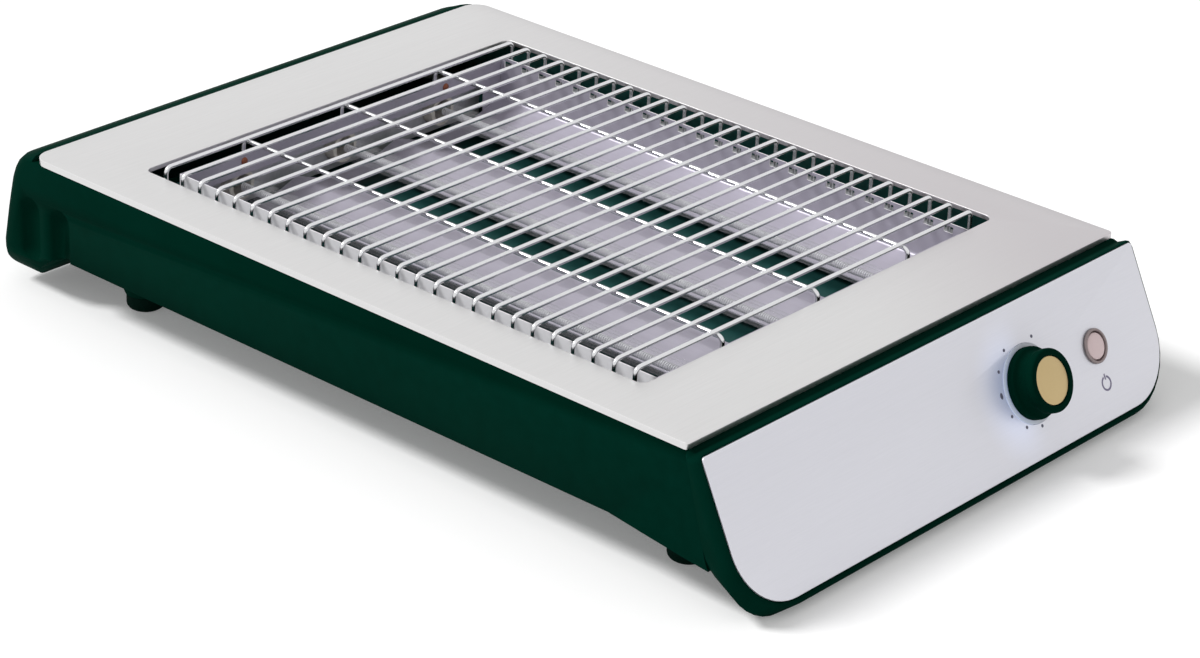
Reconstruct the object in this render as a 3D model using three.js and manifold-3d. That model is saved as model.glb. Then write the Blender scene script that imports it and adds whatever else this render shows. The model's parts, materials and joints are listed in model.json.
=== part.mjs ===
// A horizontal toaster: a low green housing under a steel top plate, a wire grill over three
// quartz heating tubes, and a sloped control panel with a timer knob and a push button.
// Millimetres, +Z up. The control panel faces -Y, and the toaster rests on four feet.
import * as THREE from "three";
import { mergeVertices } from "three/addons/utils/BufferGeometryUtils.js";
import Module from "manifold-3d";

const wasm = await Module();
wasm.setup();

// Shared clearances
const fitGap = 0.3; // between pieces that touch
const slipGap = 0.6; // round pieces that move
const overrun = 2; // how far a cut runs past what it cuts
const weldDistance = 0.0001; // points closer than this are one point

// Top plate
const plateWidth = 263.5;
const plateLength = 350;
const plateTop = 63; // height above the table
const plateSheet = 0.8;
const plateFold = 2.6; // depth of the folded outer edge
const plateBackCorner = 8;
const plateFrontCorner = 1.5;
const windowSideRim = 24.25; // steel beside the window
const windowEndRim = 41.5; // and before and behind it
const windowCorner = 4;
const windowLip = 2; // depth of the folded edge round the window

// Housing
const housingInset = 0.35; // its sides lie this far inside the plate's edge
const housingWall = 2.4;
const sideEdge = 22; // height of the sides' lower edge
const flareEdge = 16; // height of that edge at the front seam
const flareRun = 47;
const backReach = 24.6; // how far the back end stands out behind the plate
const backCorner = 10; // upright corners, seen from above
const endBottom = 3; // height of the lowest point of the back end
const lowerCorner = 18; // round lower corners, seen from the front
const bumpPlace = 11; // from the plate's back edge to where the back end is lowest
const bumpRun = 32; // length of the curve from the side edge down to there
const bumpUpperShare = 0.5; // of that length, before the curve falls
const bumpLowerShare = 0.19; // and after it has fallen
const ledgeDrop = 0.6; // the ledges round the plate lie this far below it
const tongueWall = 2.4; // upright rim that carries the plate
const tongueDepth = 6;
const bulkheadWall = 2.6;
const bulkheadDrop = 10; // below the plate
const bulkheadFoot = 35; // height of the bulkheads' lower edge

// Upright finger flutes on both sides, near the back
const fluteWidth = 12.5;
const fluteDepth = 3.4;
const fluteHeight = 29;
const fluteBottom = 15;
const fluteSpacing = 18.3;
const flutePlace = 2.2; // from the plate's back edge to the rear flute's centre
const flutePadWall = 2.2;

// Control panel, on a slope
const panelLean = 26.6; // degrees back from upright
const panelOverhang = 1.05; // past the plate's sides
const panelHeight = 61;
const panelCorner = 25;
const panelTopCorner = 1.6;
const panelSheet = 1.6;
const panelProud = 0.5;
const panelDrop = 2.2; // its top edge lies this far below the plate
const ledgeDepth = 8; // from the plate's front edge to the panel's top edge

// Front cap
const capWall = 2.4;
const capRimSide = 1.6;
const capRimTop = 1.2;
const capRimBottom = 2.8;
const capRidge = 6.4; // depth of the straight rim behind its front edge
const capRidgeCorner = 21; // round lower corners of the rim's back edge
const capRidgeDrop = 0.7; // that edge hangs this much lower than the front one
const capSeamCorner = 22; // and of the seam
const capEase = 0.8; // bevel on the rim's front edge
const capBottomRise = 0.8; // its rear edge lies this much higher than the lowest rim
const seamLean = 16.7; // degrees
const seamTop = 7.8; // depth below the plate where the seam starts to lean

// Base cover
const baseSheet = 2.4;
const baseTop = 25;
const baseInset = 1.2; // gap between its long edges and the housing
const wellInset = 32.75; // of the deep part behind the panel, inside the plate's sides
const wellTop = 8.4; // height of that part's floor
const wellRun = 17.5; // its length along the base
const ventWidth = 3;
const ventLength = 46;
const ventPitch = 12;
const ventRows = 7;

// Feet
const footInset = 26.75; // inside the plate's sides
const footFront = 18; // behind the plate's front edge
const footBack = 38.4; // before the plate's back edge
const footRadius = 8;
const footHeight = 7;
const footRound = 2.8;
const footBossTop = 11;
const footBossFoot = 8.6;
const footStem = 3;
const footStemLength = 6;

// Grill rack
const wireRadius = 0.95;
const wireCount = 26;
const wireEndGap = 7.75; // from the outer wires to the window's ends
const wireHeight = 1.7; // of the wires' middle above the plate
const wireBend = 2.6;
const wireSides = 6;
const legInset = 4.7; // of the legs inside the window's sides
const legDepth = 14.2; // of the legs' ends below the plate
const longShift = 3; // of the outer long wires inwards from the tubes
const longInset = 4.5; // of the long wires' legs inside the window's ends
const longLegDepth = 10.4;
const weldSink = 0.45; // how far two crossing wires run into each other

// Rails that the legs stand in
const railWidth = 9.6;
const railSheet = 1;
const railDepth = 11.6; // below the plate
const railLip = 6;
const railLedge = 3;
const railLedgeReach = 5;

// Reflector
const reflectorSideGap = 12; // its walls inside the window's sides
const reflectorEndGap = 8.2; // its ends inside the window's
const reflectorSheet = 0.6;
const reflectorDrop = 2.85; // its rim below the plate
const reflectorFloor = 29.4; // its lowest sheet below the plate
const ridgeDrop = 23.4;
const wallFoot = 22; // depth at which its long walls turn in
const crumbSlotWidth = 24;
const crumbSlotInset = 10;
const frontReach = 4.6; // how far its front runs past the front end wall
const frontWallDrop = 6.4; // top of the front end wall below the plate, out of sight
const endWallDrop = 13.5;
const endFoot = 11; // width of the end walls' feet
const rimSlotLength = 4.6;
const rimSlotHeight = 2.8;
const rimSlotDrop = 5.6;

// Heating tubes
const tubeWallGap = 35.5; // from an outer tube to the reflector's wall
const tubeDrop = 19.1; // of the tubes' middle below the plate
const tubeRadius = 4.8;
const tubeBore = 3.5;
const tubeReach = 0.5; // past the window's ends
const coilRadius = 2.9;
const coilInset = 4; // the coil's ends inside the tube's
const ceramicRadius = 7;
const ceramicLength = 14;
const ceramicCover = 7.5; // how far a ceramic runs over its tube
const ceramicBottom = 2.4; // solid end behind the bore
const bracketSheet = 1;
const bracketInset = 2; // the bracket's place inside the tube's end
const bracketFlange = 8.4; // depth of its flange below the plate
const bracketSideGap = 6.5; // inside the reflector's walls
const bracketBottom = 30; // depth of its lower edge below the plate
const flangeReach = 5.8;
const linkSheet = 0.8;
const linkHeight = 6;

// Crumb tray
const traySideGap = 11.5; // inside the reflector's walls
const traySheet = 0.7;
const trayTop = 32.6; // height of its rim
const trayRise = 27.3; // height of its floor's underside
const trayEndGap = 5.5; // its front inside the window's
const trayRunnerWidth = 3;
const handleWidth = 96;
const handleSheet = 2.6;
const handleTop = 39;
const handleBottom = 19;
const handleLip = 4.5;

// Timer and its knob
const knobInset = 83.75; // from the plate's right side
const knobDown = 32; // below the panel's top edge, along the slope
const knobHeight = 11.7; // above the panel
const knobLift = 0.6; // gap under the knob
const flangeRadius = 14.3;
const flangeDepth = 3;
const waistRadius = 11.9;
const discRadius = 12.6;
const discDepth = 3.6;
const knobEase = 0.7;
const knobSides = 28;
const capRadius = 9.6;
const capDisc = 1;
const capSink = 0.7; // depth of its face below the knob's rim
const shaftRadius = 3;
const shaftStart = 12; // its inner end, behind the panel's face
const shaftTop = 8.2;
const neckRadius = 4.8;
const nutRadius = 7.4;
const nutHeight = 2;
const timerWidth = 38;
const timerHeight = 30;
const timerDepth = 17;
const ringRadius = 15.8;
const ringBore = 9.4;
const ringProud = 0.25;

// Push button
const buttonInset = 39.45; // from the plate's right side
const buttonDown = 31;
const buttonRadius = 5.4;
const buttonProud = 1.2;
const buttonTravel = 2.5;
const buttonDepth = 6;
const buttonStem = 2;
const buttonStemLength = 4;
const bezelRadius = 7.1;
const bezelTube = 6.5;
const bezelHeight = 1;
const bezelDepth = 8;
const switchWidth = 12;
const switchHeight = 15;
const switchDepth = 12;

// Electrics in the back end and by the wall
const glandInset = 35.75; // inside the plate's side
const glandHeight = 33;
const glandRadius = 5.2;
const glandBore = 3.3;
const glandFlange = 8;
const glandFlangeDepth = 3;
const glandInner = 9;
const terminalWidth = 30;
const terminalDepth = 12;
const terminalHeight = 11;
const terminalOffset = 24; // from its left side to the gland
const leadRadius = 1.4;
const leadSides = 8;
const leadSteps = 24;
const leadInset = 18.25; // inside the plate's side, where a lead runs along
const leadHeight = 46;
const leadTurn = 6;

// Screws
const screwRadius = 1.5;
const screwHead = 3;
const screwHeadDepth = 1.8;
const screwLength = 12;
const bossRadius = 4.2;
const bossTop = 40;
const screwBack = 78; // before the plate's back edge
const screwFront = 60; // behind the plate's front edge
const lugWidth = 14;
const lugReach = 42;
const lugInset = 12.25; // inside the plate's sides

// Places worked out from the sizes above
const plateHalf = plateWidth / 2;
const plateEnd = plateLength / 2;
const windowWidth = plateWidth - 2 * windowSideRim;
const windowLength = plateLength - 2 * windowEndRim;
const panelWidth = plateWidth + 2 * panelOverhang;
const housingHalf = plateHalf - housingInset;
const rimZ = plateTop - plateFold - fitGap; // top of the housing's outer walls
const ledgeZ = plateTop - ledgeDrop;
const tongueZ = plateTop - plateSheet - fitGap;
const bulkheadStart = windowLength / 2;
const legSpread = windowWidth / 2 - legInset;
const wirePitch = (windowLength - 2 * wireEndGap) / (wireCount - 1);
const longReach = windowLength / 2 - longInset;
const reflectorWidth = windowWidth - 2 * reflectorSideGap;
const reflectorLength = windowLength - 2 * reflectorEndGap;
const tubeSpacing = reflectorWidth / 2 - tubeWallGap;
const longSpacing = tubeSpacing - longShift;
const tubeHalf = windowLength / 2 + tubeReach;
const coilHalf = tubeHalf - coilInset;
const ceramicStart = tubeHalf - ceramicCover;
const bracketPlace = tubeHalf - bracketInset;
const bracketWidth = reflectorWidth - 2 * bracketSideGap;
const trayWidth = reflectorWidth - 2 * traySideGap;
const trayFront = windowLength / 2 - trayEndGap;
const wellHalf = plateHalf - wellInset;
const footSpread = plateHalf - footInset;
const buttonX = plateHalf - buttonInset;
const knobX = plateHalf - knobInset;
const glandX = plateHalf - glandInset;
const terminalX = glandX - terminalOffset;
const leadX = plateHalf - leadInset;
const lugX = plateHalf - lugInset;
const openEnd = plateEnd + bumpPlace - bumpRun - housingWall; // end of the housing's open bottom
const lean = THREE.MathUtils.degToRad(panelLean);
const seam = THREE.MathUtils.degToRad(seamLean);
const wireZ = plateTop + wireHeight;
const longZ = wireZ - 2 * wireRadius + weldSink;
const tubeZ = plateTop - tubeDrop;
const rackSpan = (wireCount - 1) * wirePitch;

// Materials: colour, roughness, metalness
function finish(colour, roughness, metalness) {
  return new THREE.MeshStandardMaterial({ color: colour, roughness, metalness });
}

const greenPlastic = finish(0x06281f, 0.35, 0);
const steel = finish(0xd3d1d2, 0.3, 1);
const satinPanel = finish(0xd2d3d8, 0.4, 0.8);
const brightWire = finish(0xdadce0, 0.2, 1);
const polished = finish(0xb9b6c4, 0.15, 1);
const rubber = finish(0x15181a, 0.8, 0);
const gold = finish(0xbfa071, 0.35, 0.9);
const paleGlow = finish(0xd8e6f4, 0.3, 0);
const buttonPink = finish(0xc4aeb0, 0.35, 0);
const quartz = finish(0xd6d6da, 0.2, 0);
const ceramic = finish(0xe8e4da, 0.7, 0);
const coilMetal = finish(0x5c5550, 0.5, 1);
const galvanised = finish(0xa9adb0, 0.45, 1);
const blackPlastic = finish(0x1b1c1d, 0.5, 0);
const leadSleeve = finish(0xd9d4c8, 0.6, 0);

// A closed three.js geometry as a solid that can be joined and cut, its faces pointing outward.
function solidOf(geometry) {
  const bare = geometry.index ? geometry.toNonIndexed() : geometry.clone();
  bare.deleteAttribute("normal");
  bare.deleteAttribute("uv");
  const merged = mergeVertices(bare, weldDistance);
  const vertProperties = merged.attributes.position.array;
  const triVerts = new Uint32Array(merged.index.array);
  const solid = new wasm.Manifold(new wasm.Mesh({ numProp: 3, vertProperties, triVerts }));
  if (solid.volume() > 0) return solid;
  triVerts.reverse();
  return new wasm.Manifold(new wasm.Mesh({ numProp: 3, vertProperties, triVerts }));
}

function join(first, ...others) {
  return others.reduce((whole, piece) => whole.add(piece), first);
}

function cut(first, ...others) {
  return others.reduce((whole, piece) => whole.subtract(piece), first);
}

function meshOf(name, solid, material) {
  const made = solid.getMesh();
  const geometry = new THREE.BufferGeometry();
  const stride = made.numProp;
  const points = new Float32Array(made.numVert * 3);
  for (let i = 0; i < made.numVert; i++) {
    points.set(made.vertProperties.subarray(i * stride, i * stride + 3), i * 3);
  }
  geometry.setAttribute("position", new THREE.BufferAttribute(points, 3));
  geometry.setIndex(new THREE.BufferAttribute(made.triVerts, 1));
  geometry.computeVertexNormals();
  const mesh = new THREE.Mesh(geometry, material);
  mesh.name = name;
  return mesh;
}

// A box between two corners.
function box(x0, x1, y0, y1, z0, z1) {
  const geometry = new THREE.BoxGeometry(x1 - x0, y1 - y0, z1 - z0);
  geometry.translate((x0 + x1) / 2, (y0 + y1) / 2, (z0 + z1) / 2);
  return solidOf(geometry);
}

// An outline pushed along an axis: along x its points are (y, z), along y (x, z), along z (x, y).
function prism(outline, axis, from, to, curveSegments = 6) {
  const options = { depth: to - from, bevelEnabled: false, curveSegments };
  const geometry = new THREE.ExtrudeGeometry(outline, options);
  const x = new THREE.Vector3(1, 0, 0);
  const y = new THREE.Vector3(0, 1, 0);
  const z = new THREE.Vector3(0, 0, 1);
  const turn = new THREE.Matrix4();
  if (axis === "x") {
    turn.makeBasis(y, z, x).setPosition(from, 0, 0);
  } else if (axis === "y") {
    turn.makeBasis(x, z, y.clone().negate()).setPosition(0, to, 0);
  } else {
    turn.makeTranslation(0, 0, from);
  }
  geometry.applyMatrix4(turn);
  return solidOf(geometry);
}

function polygon(points) {
  return new THREE.Shape(points.map(([a, b]) => new THREE.Vector2(a, b)));
}

// A rectangle with its own radius at the lower and at the upper corners.
function roundedRectangle(x0, x1, y0, y1, lowRadius, highRadius) {
  const shape = new THREE.Shape();
  const right = Math.PI / 2;
  shape.moveTo(x0 + lowRadius, y0);
  shape.lineTo(x1 - lowRadius, y0);
  shape.absarc(x1 - lowRadius, y0 + lowRadius, lowRadius, -right, 0, false);
  shape.lineTo(x1, y1 - highRadius);
  shape.absarc(x1 - highRadius, y1 - highRadius, highRadius, 0, right, false);
  shape.lineTo(x0 + highRadius, y1);
  shape.absarc(x0 + highRadius, y1 - highRadius, highRadius, right, 2 * right, false);
  shape.lineTo(x0, y0 + lowRadius);
  shape.absarc(x0 + lowRadius, y0 + lowRadius, lowRadius, 2 * right, 3 * right, false);
  return shape;
}

// A turned piece on an upright axis; its profile of (radius, height) starts and ends on the axis
// or closes on itself.
function turned(profile, sides) {
  const points = profile.map(([r, h]) => new THREE.Vector2(r, h));
  const geometry = new THREE.LatheGeometry(points, sides);
  geometry.rotateX(Math.PI / 2);
  return solidOf(geometry);
}

function rod(radius, z0, z1, sides = 16) {
  return turned([[0, z0], [radius, z0], [radius, z1], [0, z1]], sides);
}

function placed(solid, matrix) {
  return solid.transform(matrix.elements);
}

function at(x, y, z) {
  return new THREE.Matrix4().makeTranslation(x, y, z);
}

// Turns an upright piece so that its +Z points along -Y or +Y.
function lying(direction) {
  return new THREE.Matrix4().makeRotationX((-direction * Math.PI) / 2);
}

// A path that puts one section of an extrusion at each of its points.
class CornerPath extends THREE.Curve {
  constructor(points) {
    super();
    this.points = points;
  }

  getPoint(share, target = new THREE.Vector3()) {
    const place = share * (this.points.length - 1);
    const index = Math.min(Math.floor(place), this.points.length - 2);
    return target.lerpVectors(this.points[index], this.points[index + 1], place - index);
  }

  getPointAt(share, target) {
    return this.getPoint(share, target);
  }

  getTangentAt(share, target = new THREE.Vector3()) {
    const last = this.points.length - 1;
    const index = Math.round(share * last);
    const before = this.points[Math.max(index - 1, 0)];
    const after = this.points[Math.min(index + 1, last)];
    const here = this.points[index];
    const inward = here.clone().sub(before).normalize();
    const outward = after.clone().sub(here).normalize();
    return target.copy(inward).add(outward).normalize();
  }
}

function ringSection(radius, sides) {
  const points = [];
  for (let i = 0; i < sides; i++) {
    const angle = (2 * Math.PI * (i + 1 / 2)) / sides;
    points.push([radius * Math.cos(angle), radius * Math.sin(angle)]);
  }
  return polygon(points);
}

function tube(path, steps, radius, sides) {
  const options = { steps, extrudePath: path, bevelEnabled: false };
  return solidOf(new THREE.ExtrudeGeometry(ringSection(radius, sides), options));
}

// A closed solid through rings of points, each ring turning the same way.
function loft(rings) {
  const count = rings[0].length;
  const points = rings.flat();
  const faces = [];
  for (let r = 0; r + 1 < rings.length; r++) {
    for (let i = 0; i < count; i++) {
      const j = (i + 1) % count;
      const a = r * count + i;
      const b = r * count + j;
      faces.push(a, b, b + count);
      faces.push(a, b + count, a + count);
    }
  }
  for (let i = 1; i + 1 < count; i++) {
    faces.push(0, i + 1, i);
    const top = (rings.length - 1) * count;
    faces.push(top, top + i, top + i + 1);
  }
  const geometry = new THREE.BufferGeometry();
  const flat = new Float32Array(points.flatMap((p) => p.toArray()));
  geometry.setAttribute("position", new THREE.BufferAttribute(flat, 3));
  geometry.setIndex(faces);
  return solidOf(geometry);
}

// The tilted place of the control panel: x to the right, y up the slope, z out of its face.
const panelPlace = new THREE.Matrix4()
  .makeRotationX(Math.PI / 2 - lean)
  .setPosition(0, -plateEnd - ledgeDepth, plateTop - panelDrop);

function onPanel(x, down, out) {
  return panelPlace.clone().multiply(at(x, -down, out));
}

// The seam between front cap and housing leans forward below its top; its place in y at a height.
function seamY(z) {
  const depth = Math.max(plateTop - seamTop - z, 0);
  return -plateEnd - fitGap - depth * Math.tan(seam);
}

const group = new THREE.Group();

function add(name, solid, material) {
  group.add(meshOf(name, solid, material));
}

// The back end in rings from the table up: share of its height, share of its reach.
const backProfileShares = [
  [0, 0.467],
  [0.027, 0.691],
  [0.079, 0.846],
  [0.143, 0.947],
  [0.21, 0.996],
  [0.273, 1],
  [0.389, 0.947],
  [0.53, 0.882],
  [0.66, 0.813],
  [0.766, 0.752],
  [0.833, 0.687],
  [0.897, 0.593],
  [0.943, 0.472],
  [0.968, 0.317],
  [1, 0.142],
];

function backY(z) {
  const share = (z - endBottom) / (ledgeZ - endBottom);
  const last = backProfileShares.length - 1;
  let i = 0;
  while (i < last - 1 && backProfileShares[i + 1][0] < share) i++;
  const [low, lowReach] = backProfileShares[i];
  const [high, highReach] = backProfileShares[i + 1];
  const mix = (share - low) / (high - low);
  return plateEnd + backReach * (lowReach + (highReach - lowReach) * mix);
}

// Rings of the housing's block, each seen from above, drawn in by an inset.
function housingBlock(inset) {
  const corner = backCorner - inset;
  const front = -plateEnd - ledgeDepth - panelHeight;
  const steps = 5;
  const rings = backProfileShares.map(([rise, reach], index) => {
    const ends = index === 0 ? -1 : 1;
    const outermost = index === 0 || index === backProfileShares.length - 1;
    const height = endBottom + rise * (ledgeZ - endBottom);
    const z = height + (outermost && inset > 0 ? ends * overrun : 0);
    const y = plateEnd + backReach * reach - inset;
    const half = housingHalf - inset;
    const ring = [new THREE.Vector3(-half, front, z), new THREE.Vector3(half, front, z)];
    for (let i = 0; i <= steps; i++) {
      const angle = (Math.PI / 2) * (i / steps);
      const x = half - corner + corner * Math.cos(angle);
      ring.push(new THREE.Vector3(x, y - corner + corner * Math.sin(angle), z));
    }
    for (let i = 0; i <= steps; i++) {
      const angle = (Math.PI / 2) * (1 + i / steps);
      const x = -half + corner + corner * Math.cos(angle);
      ring.push(new THREE.Vector3(x, y - corner + corner * Math.sin(angle), z));
    }
    return ring;
  });
  return loft(rings);
}

// The housing seen from the side: its lower edge, the curve to the back end and the seam.
function housingSide(inset) {
  const back = plateEnd + backReach + overrun;
  const high = plateTop + overrun;
  const low = endBottom + inset;
  const curveEnd = plateEnd + bumpPlace + inset;
  const curveStart = curveEnd - bumpRun;
  const shape = new THREE.Shape();
  const open = inset > 0;
  shape.moveTo(back, high);
  const frontY = open ? -plateEnd - ledgeDepth - panelHeight : -plateEnd - fitGap;
  shape.lineTo(frontY, high);
  if (open) {
    shape.lineTo(frontY, -overrun);
    shape.lineTo(openEnd, -overrun);
    shape.lineTo(openEnd, sideEdge + inset);
    shape.lineTo(curveStart, sideEdge + inset);
  } else {
    const edgeY = seamY(flareEdge);
    shape.lineTo(frontY, plateTop - seamTop);
    shape.lineTo(edgeY, flareEdge);
    shape.lineTo(edgeY + flareRun, sideEdge);
    shape.lineTo(curveStart, sideEdge);
  }
  shape.bezierCurveTo(
    curveStart + bumpRun * bumpUpperShare, sideEdge + inset,
    curveEnd - bumpRun * bumpLowerShare, low, curveEnd, low,
  );
  shape.lineTo(back, low);
  return shape;
}

function housingFront(inset) {
  const half = housingHalf - inset;
  const high = plateTop + overrun;
  return roundedRectangle(-half, half, endBottom + inset, high, lowerCorner - inset, fitGap);
}

function housingForm(inset) {
  const reach = plateEnd + backReach + ledgeDepth + panelHeight;
  const side = prism(housingSide(inset), "x", -plateHalf, plateHalf, 8);
  const front = prism(housingFront(inset), "y", -reach, reach, 8);
  return housingBlock(inset).intersect(side).intersect(front);
}

// The hollow is open below the middle part, so there its outline has no round lower corners.
function housingHollow() {
  const half = housingHalf - housingWall;
  const reach = plateEnd + ledgeDepth + panelHeight;
  const middle = box(-half, half, -reach, openEnd, -overrun, plateTop + overrun);
  return housingForm(housingWall).add(middle);
}

function screwPlaces() {
  const x = housingHalf - housingWall - bossRadius;
  const places = [];
  for (const side of [-1, 1]) {
    places.push([side * x, plateEnd - screwBack]);
    places.push([side * x, -plateEnd + screwFront]);
  }
  return places;
}

function fluteCutter(side, y) {
  const half = fluteWidth / 2;
  const radius = (half * half + fluteDepth * fluteDepth) / (2 * fluteDepth);
  const straight = fluteHeight - 2 * half;
  const cylinder = rod(radius, fluteBottom + half, fluteBottom + half + straight, 24);
  const dome = solidOf(new THREE.SphereGeometry(radius, 24, 12));
  const x = side * (housingHalf + radius - fluteDepth);
  return join(
    placed(cylinder, at(x, y, 0)),
    placed(dome, at(x, y, fluteBottom + half)),
    placed(dome, at(x, y, fluteBottom + half + straight)),
  );
}

function glandPlace() {
  const rise = (handleTop - handleBottom) / 2;
  const slope = (backY(glandHeight - rise) - backY(glandHeight + rise)) / (2 * rise);
  return at(glandX, backY(glandHeight), glandHeight)
    .multiply(new THREE.Matrix4().makeRotationX(-Math.PI / 2 + Math.atan(slope)));
}

function makeHousing() {
  let body = housingForm(0);
  const flutes = [];
  const pads = [];
  const rear = plateEnd + flutePlace;
  for (const side of [-1, 1]) {
    for (const y of [rear, rear - fluteSpacing]) flutes.push(fluteCutter(side, y));
    const outer = side * (housingHalf - housingWall / 2);
    const inner = side * (housingHalf - fluteDepth - flutePadWall);
    const front = openEnd;
    const back = rear + fluteWidth / 2;
    const top = fluteBottom + fluteHeight + housingWall;
    pads.push(box(Math.min(outer, inner), Math.max(outer, inner), front, back, fluteBottom, top));
  }
  const padForm = join(...pads).intersect(housingForm(0));
  body = join(cut(body, housingHollow()), padForm);
  body = cut(body, ...flutes);
  // The plate lies in this step, on an upright tongue.
  const plateZone = box(
    -plateHalf - overrun, plateHalf + overrun,
    -plateEnd - overrun, plateEnd + fitGap,
    rimZ, plateTop + overrun,
  );
  body = cut(body, plateZone);
  const tongueHalf = plateHalf - plateSheet - fitGap;
  const tongueEnd = plateEnd - plateSheet - fitGap;
  const tongueBottom = rimZ - tongueDepth;
  const tongueCorner = plateBackCorner - plateSheet;
  const tongue = cut(
    prism(
      roundedRectangle(
        -tongueHalf, tongueHalf, -tongueEnd, tongueEnd, plateFrontCorner + fitGap, tongueCorner,
      ),
      "z", tongueBottom, tongueZ,
    ),
    box(
      -tongueHalf + tongueWall, tongueHalf - tongueWall,
      -tongueEnd + tongueWall, tongueEnd - tongueWall,
      tongueBottom - overrun, tongueZ + overrun,
    ),
  );
  // The ledge behind the plate is a lid over the back end.
  const lid = housingForm(0).intersect(
    box(
      -plateHalf, plateHalf,
      plateEnd - plateSheet - fitGap - tongueWall, plateEnd + backReach,
      rimZ - housingWall, plateTop,
    ),
  );
  body = join(body, tongue, cut(lid, plateZone));
  // Bulkheads carry the heater brackets and the rails' ends.
  const inside = housingHalf - housingWall / 2;
  for (const side of [-1, 1]) {
    const near = side * bulkheadStart;
    const far = side * (bulkheadStart + bulkheadWall);
    let bulkhead = box(
      -inside, inside, Math.min(near, far), Math.max(near, far),
      bulkheadFoot, plateTop - bulkheadDrop,
    );
    for (const x of [-tubeSpacing, 0, tubeSpacing]) {
      const hole = rod(ceramicRadius + fitGap, -overrun - bulkheadWall, bulkheadWall + overrun);
      const place = at(x, near, tubeZ).multiply(lying(1));
      bulkhead = cut(bulkhead, placed(hole, place));
    }
    const ledgeTop = plateTop - railDepth - railSheet - fitGap;
    const ledgeEnd = side * (bulkheadStart - railLedgeReach);
    const ledgeOuter = housingHalf - housingWall / 2;
    for (const wing of [-1, 1]) {
      const x0 = wing * (legSpread - railWidth / 2 + railLedge);
      const x1 = wing * ledgeOuter;
      bulkhead = join(
        bulkhead,
        box(
          Math.min(x0, x1), Math.max(x0, x1), Math.min(ledgeEnd, far), Math.max(ledgeEnd, far),
          ledgeTop - railLip - fitGap - railLedge, ledgeTop - railLip - fitGap,
        ),
      );
    }
    const leadHole = rod(leadRadius + slipGap, -overrun - bulkheadWall, bulkheadWall + overrun);
    const leadPlace = at(leadX, near, leadHeight).multiply(lying(1));
    body = join(body, cut(bulkhead, placed(leadHole, leadPlace)));
  }
  // Screw bosses stand against the walls.
  for (const [x, y] of screwPlaces()) {
    const bossBottom = baseTop + fitGap;
    const wallX = Math.sign(x) * (housingHalf - housingWall / 2);
    const web = box(
      Math.min(x, wallX), Math.max(x, wallX), y - bossRadius / 2, y + bossRadius / 2,
      bossBottom, bossTop,
    );
    body = join(body, placed(rod(bossRadius, bossBottom, bossTop, 12), at(x, y, 0)), web);
    const hole = rod(screwRadius + fitGap, bossBottom - overrun, screwLength + baseTop, 10);
    body = cut(body, placed(hole, at(x, y, 0)));
  }
  // The crumb tray and the cord gland pass through the back end.
  const slotHalf = trayWidth / 2 + slipGap;
  const slot = box(
    -slotHalf, slotHalf, bulkheadStart + bulkheadWall + overrun, plateEnd + backReach + overrun,
    trayRise - slipGap, trayTop + slipGap,
  );
  const glandHole = rod(glandRadius + fitGap, -glandInner - overrun, glandFlange, 16);
  return cut(body, slot, placed(glandHole, glandPlace()));
}

// An outline of the cap in a leaning plane: half width, top and bottom along the lean.
function capRing(half, top, bottom, topRadius, bottomRadius, place) {
  const points = [];
  const steps = 8;
  const corner = (x, y, radius, start, count) => {
    for (let i = 0; i <= count; i++) {
      const angle = start + ((Math.PI / 2) * i) / count;
      const right = x + radius * Math.cos(angle);
      const up = y + radius * Math.sin(angle);
      points.push(new THREE.Vector3(right, up, 0).applyMatrix4(place));
    }
  };
  const quarter = Math.PI / 2;
  corner(half - topRadius, top - topRadius, topRadius, 0, 2);
  corner(-half + topRadius, top - topRadius, topRadius, quarter, 2);
  corner(-half + bottomRadius, bottom + bottomRadius, bottomRadius, 2 * quarter, steps);
  corner(half - bottomRadius, bottom + bottomRadius, bottomRadius, 3 * quarter, steps);
  return points;
}

function capForm(inset, frontDepth) {
  const half = panelWidth / 2 + capRimSide - inset;
  const top = capRimTop - inset;
  const bottom = -panelHeight - capRimBottom + inset;
  const topRadius = panelTopCorner + capRimTop - Math.min(inset, panelTopCorner);
  const frontRadius = panelCorner + capRimBottom - inset;
  const seamTopPlace = -plateEnd - fitGap + Math.tan(seam) * (seamTop - ledgeDrop);
  const seamPlace = new THREE.Matrix4()
    .makeRotationX(Math.PI / 2 - seam)
    .setPosition(0, seamTopPlace, ledgeZ);
  const seamLength = (ledgeZ - endBottom - capBottomRise) / Math.cos(seam);
  const ring = (depth, ease, bottomRadius, drop) => capRing(
    half - ease, top - ease, bottom + ease - drop, topRadius, bottomRadius,
    onPanel(0, 0, -depth),
  );
  const rings = [];
  if (inset === 0) rings.push(ring(frontDepth, capEase, frontRadius - capEase, 0));
  rings.push(ring(frontDepth + (inset === 0 ? capEase : 0), 0, frontRadius, 0));
  rings.push(ring(capRidge, 0, capRidgeCorner - inset, capRidgeDrop));
  const behind = seamPlace.clone().multiply(at(0, 0, inset > 0 ? -overrun : 0));
  rings.push(capRing(
    housingHalf - inset, -inset, -seamLength + inset,
    topRadius, capSeamCorner - inset, behind,
  ));
  return loft(rings);
}

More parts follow.
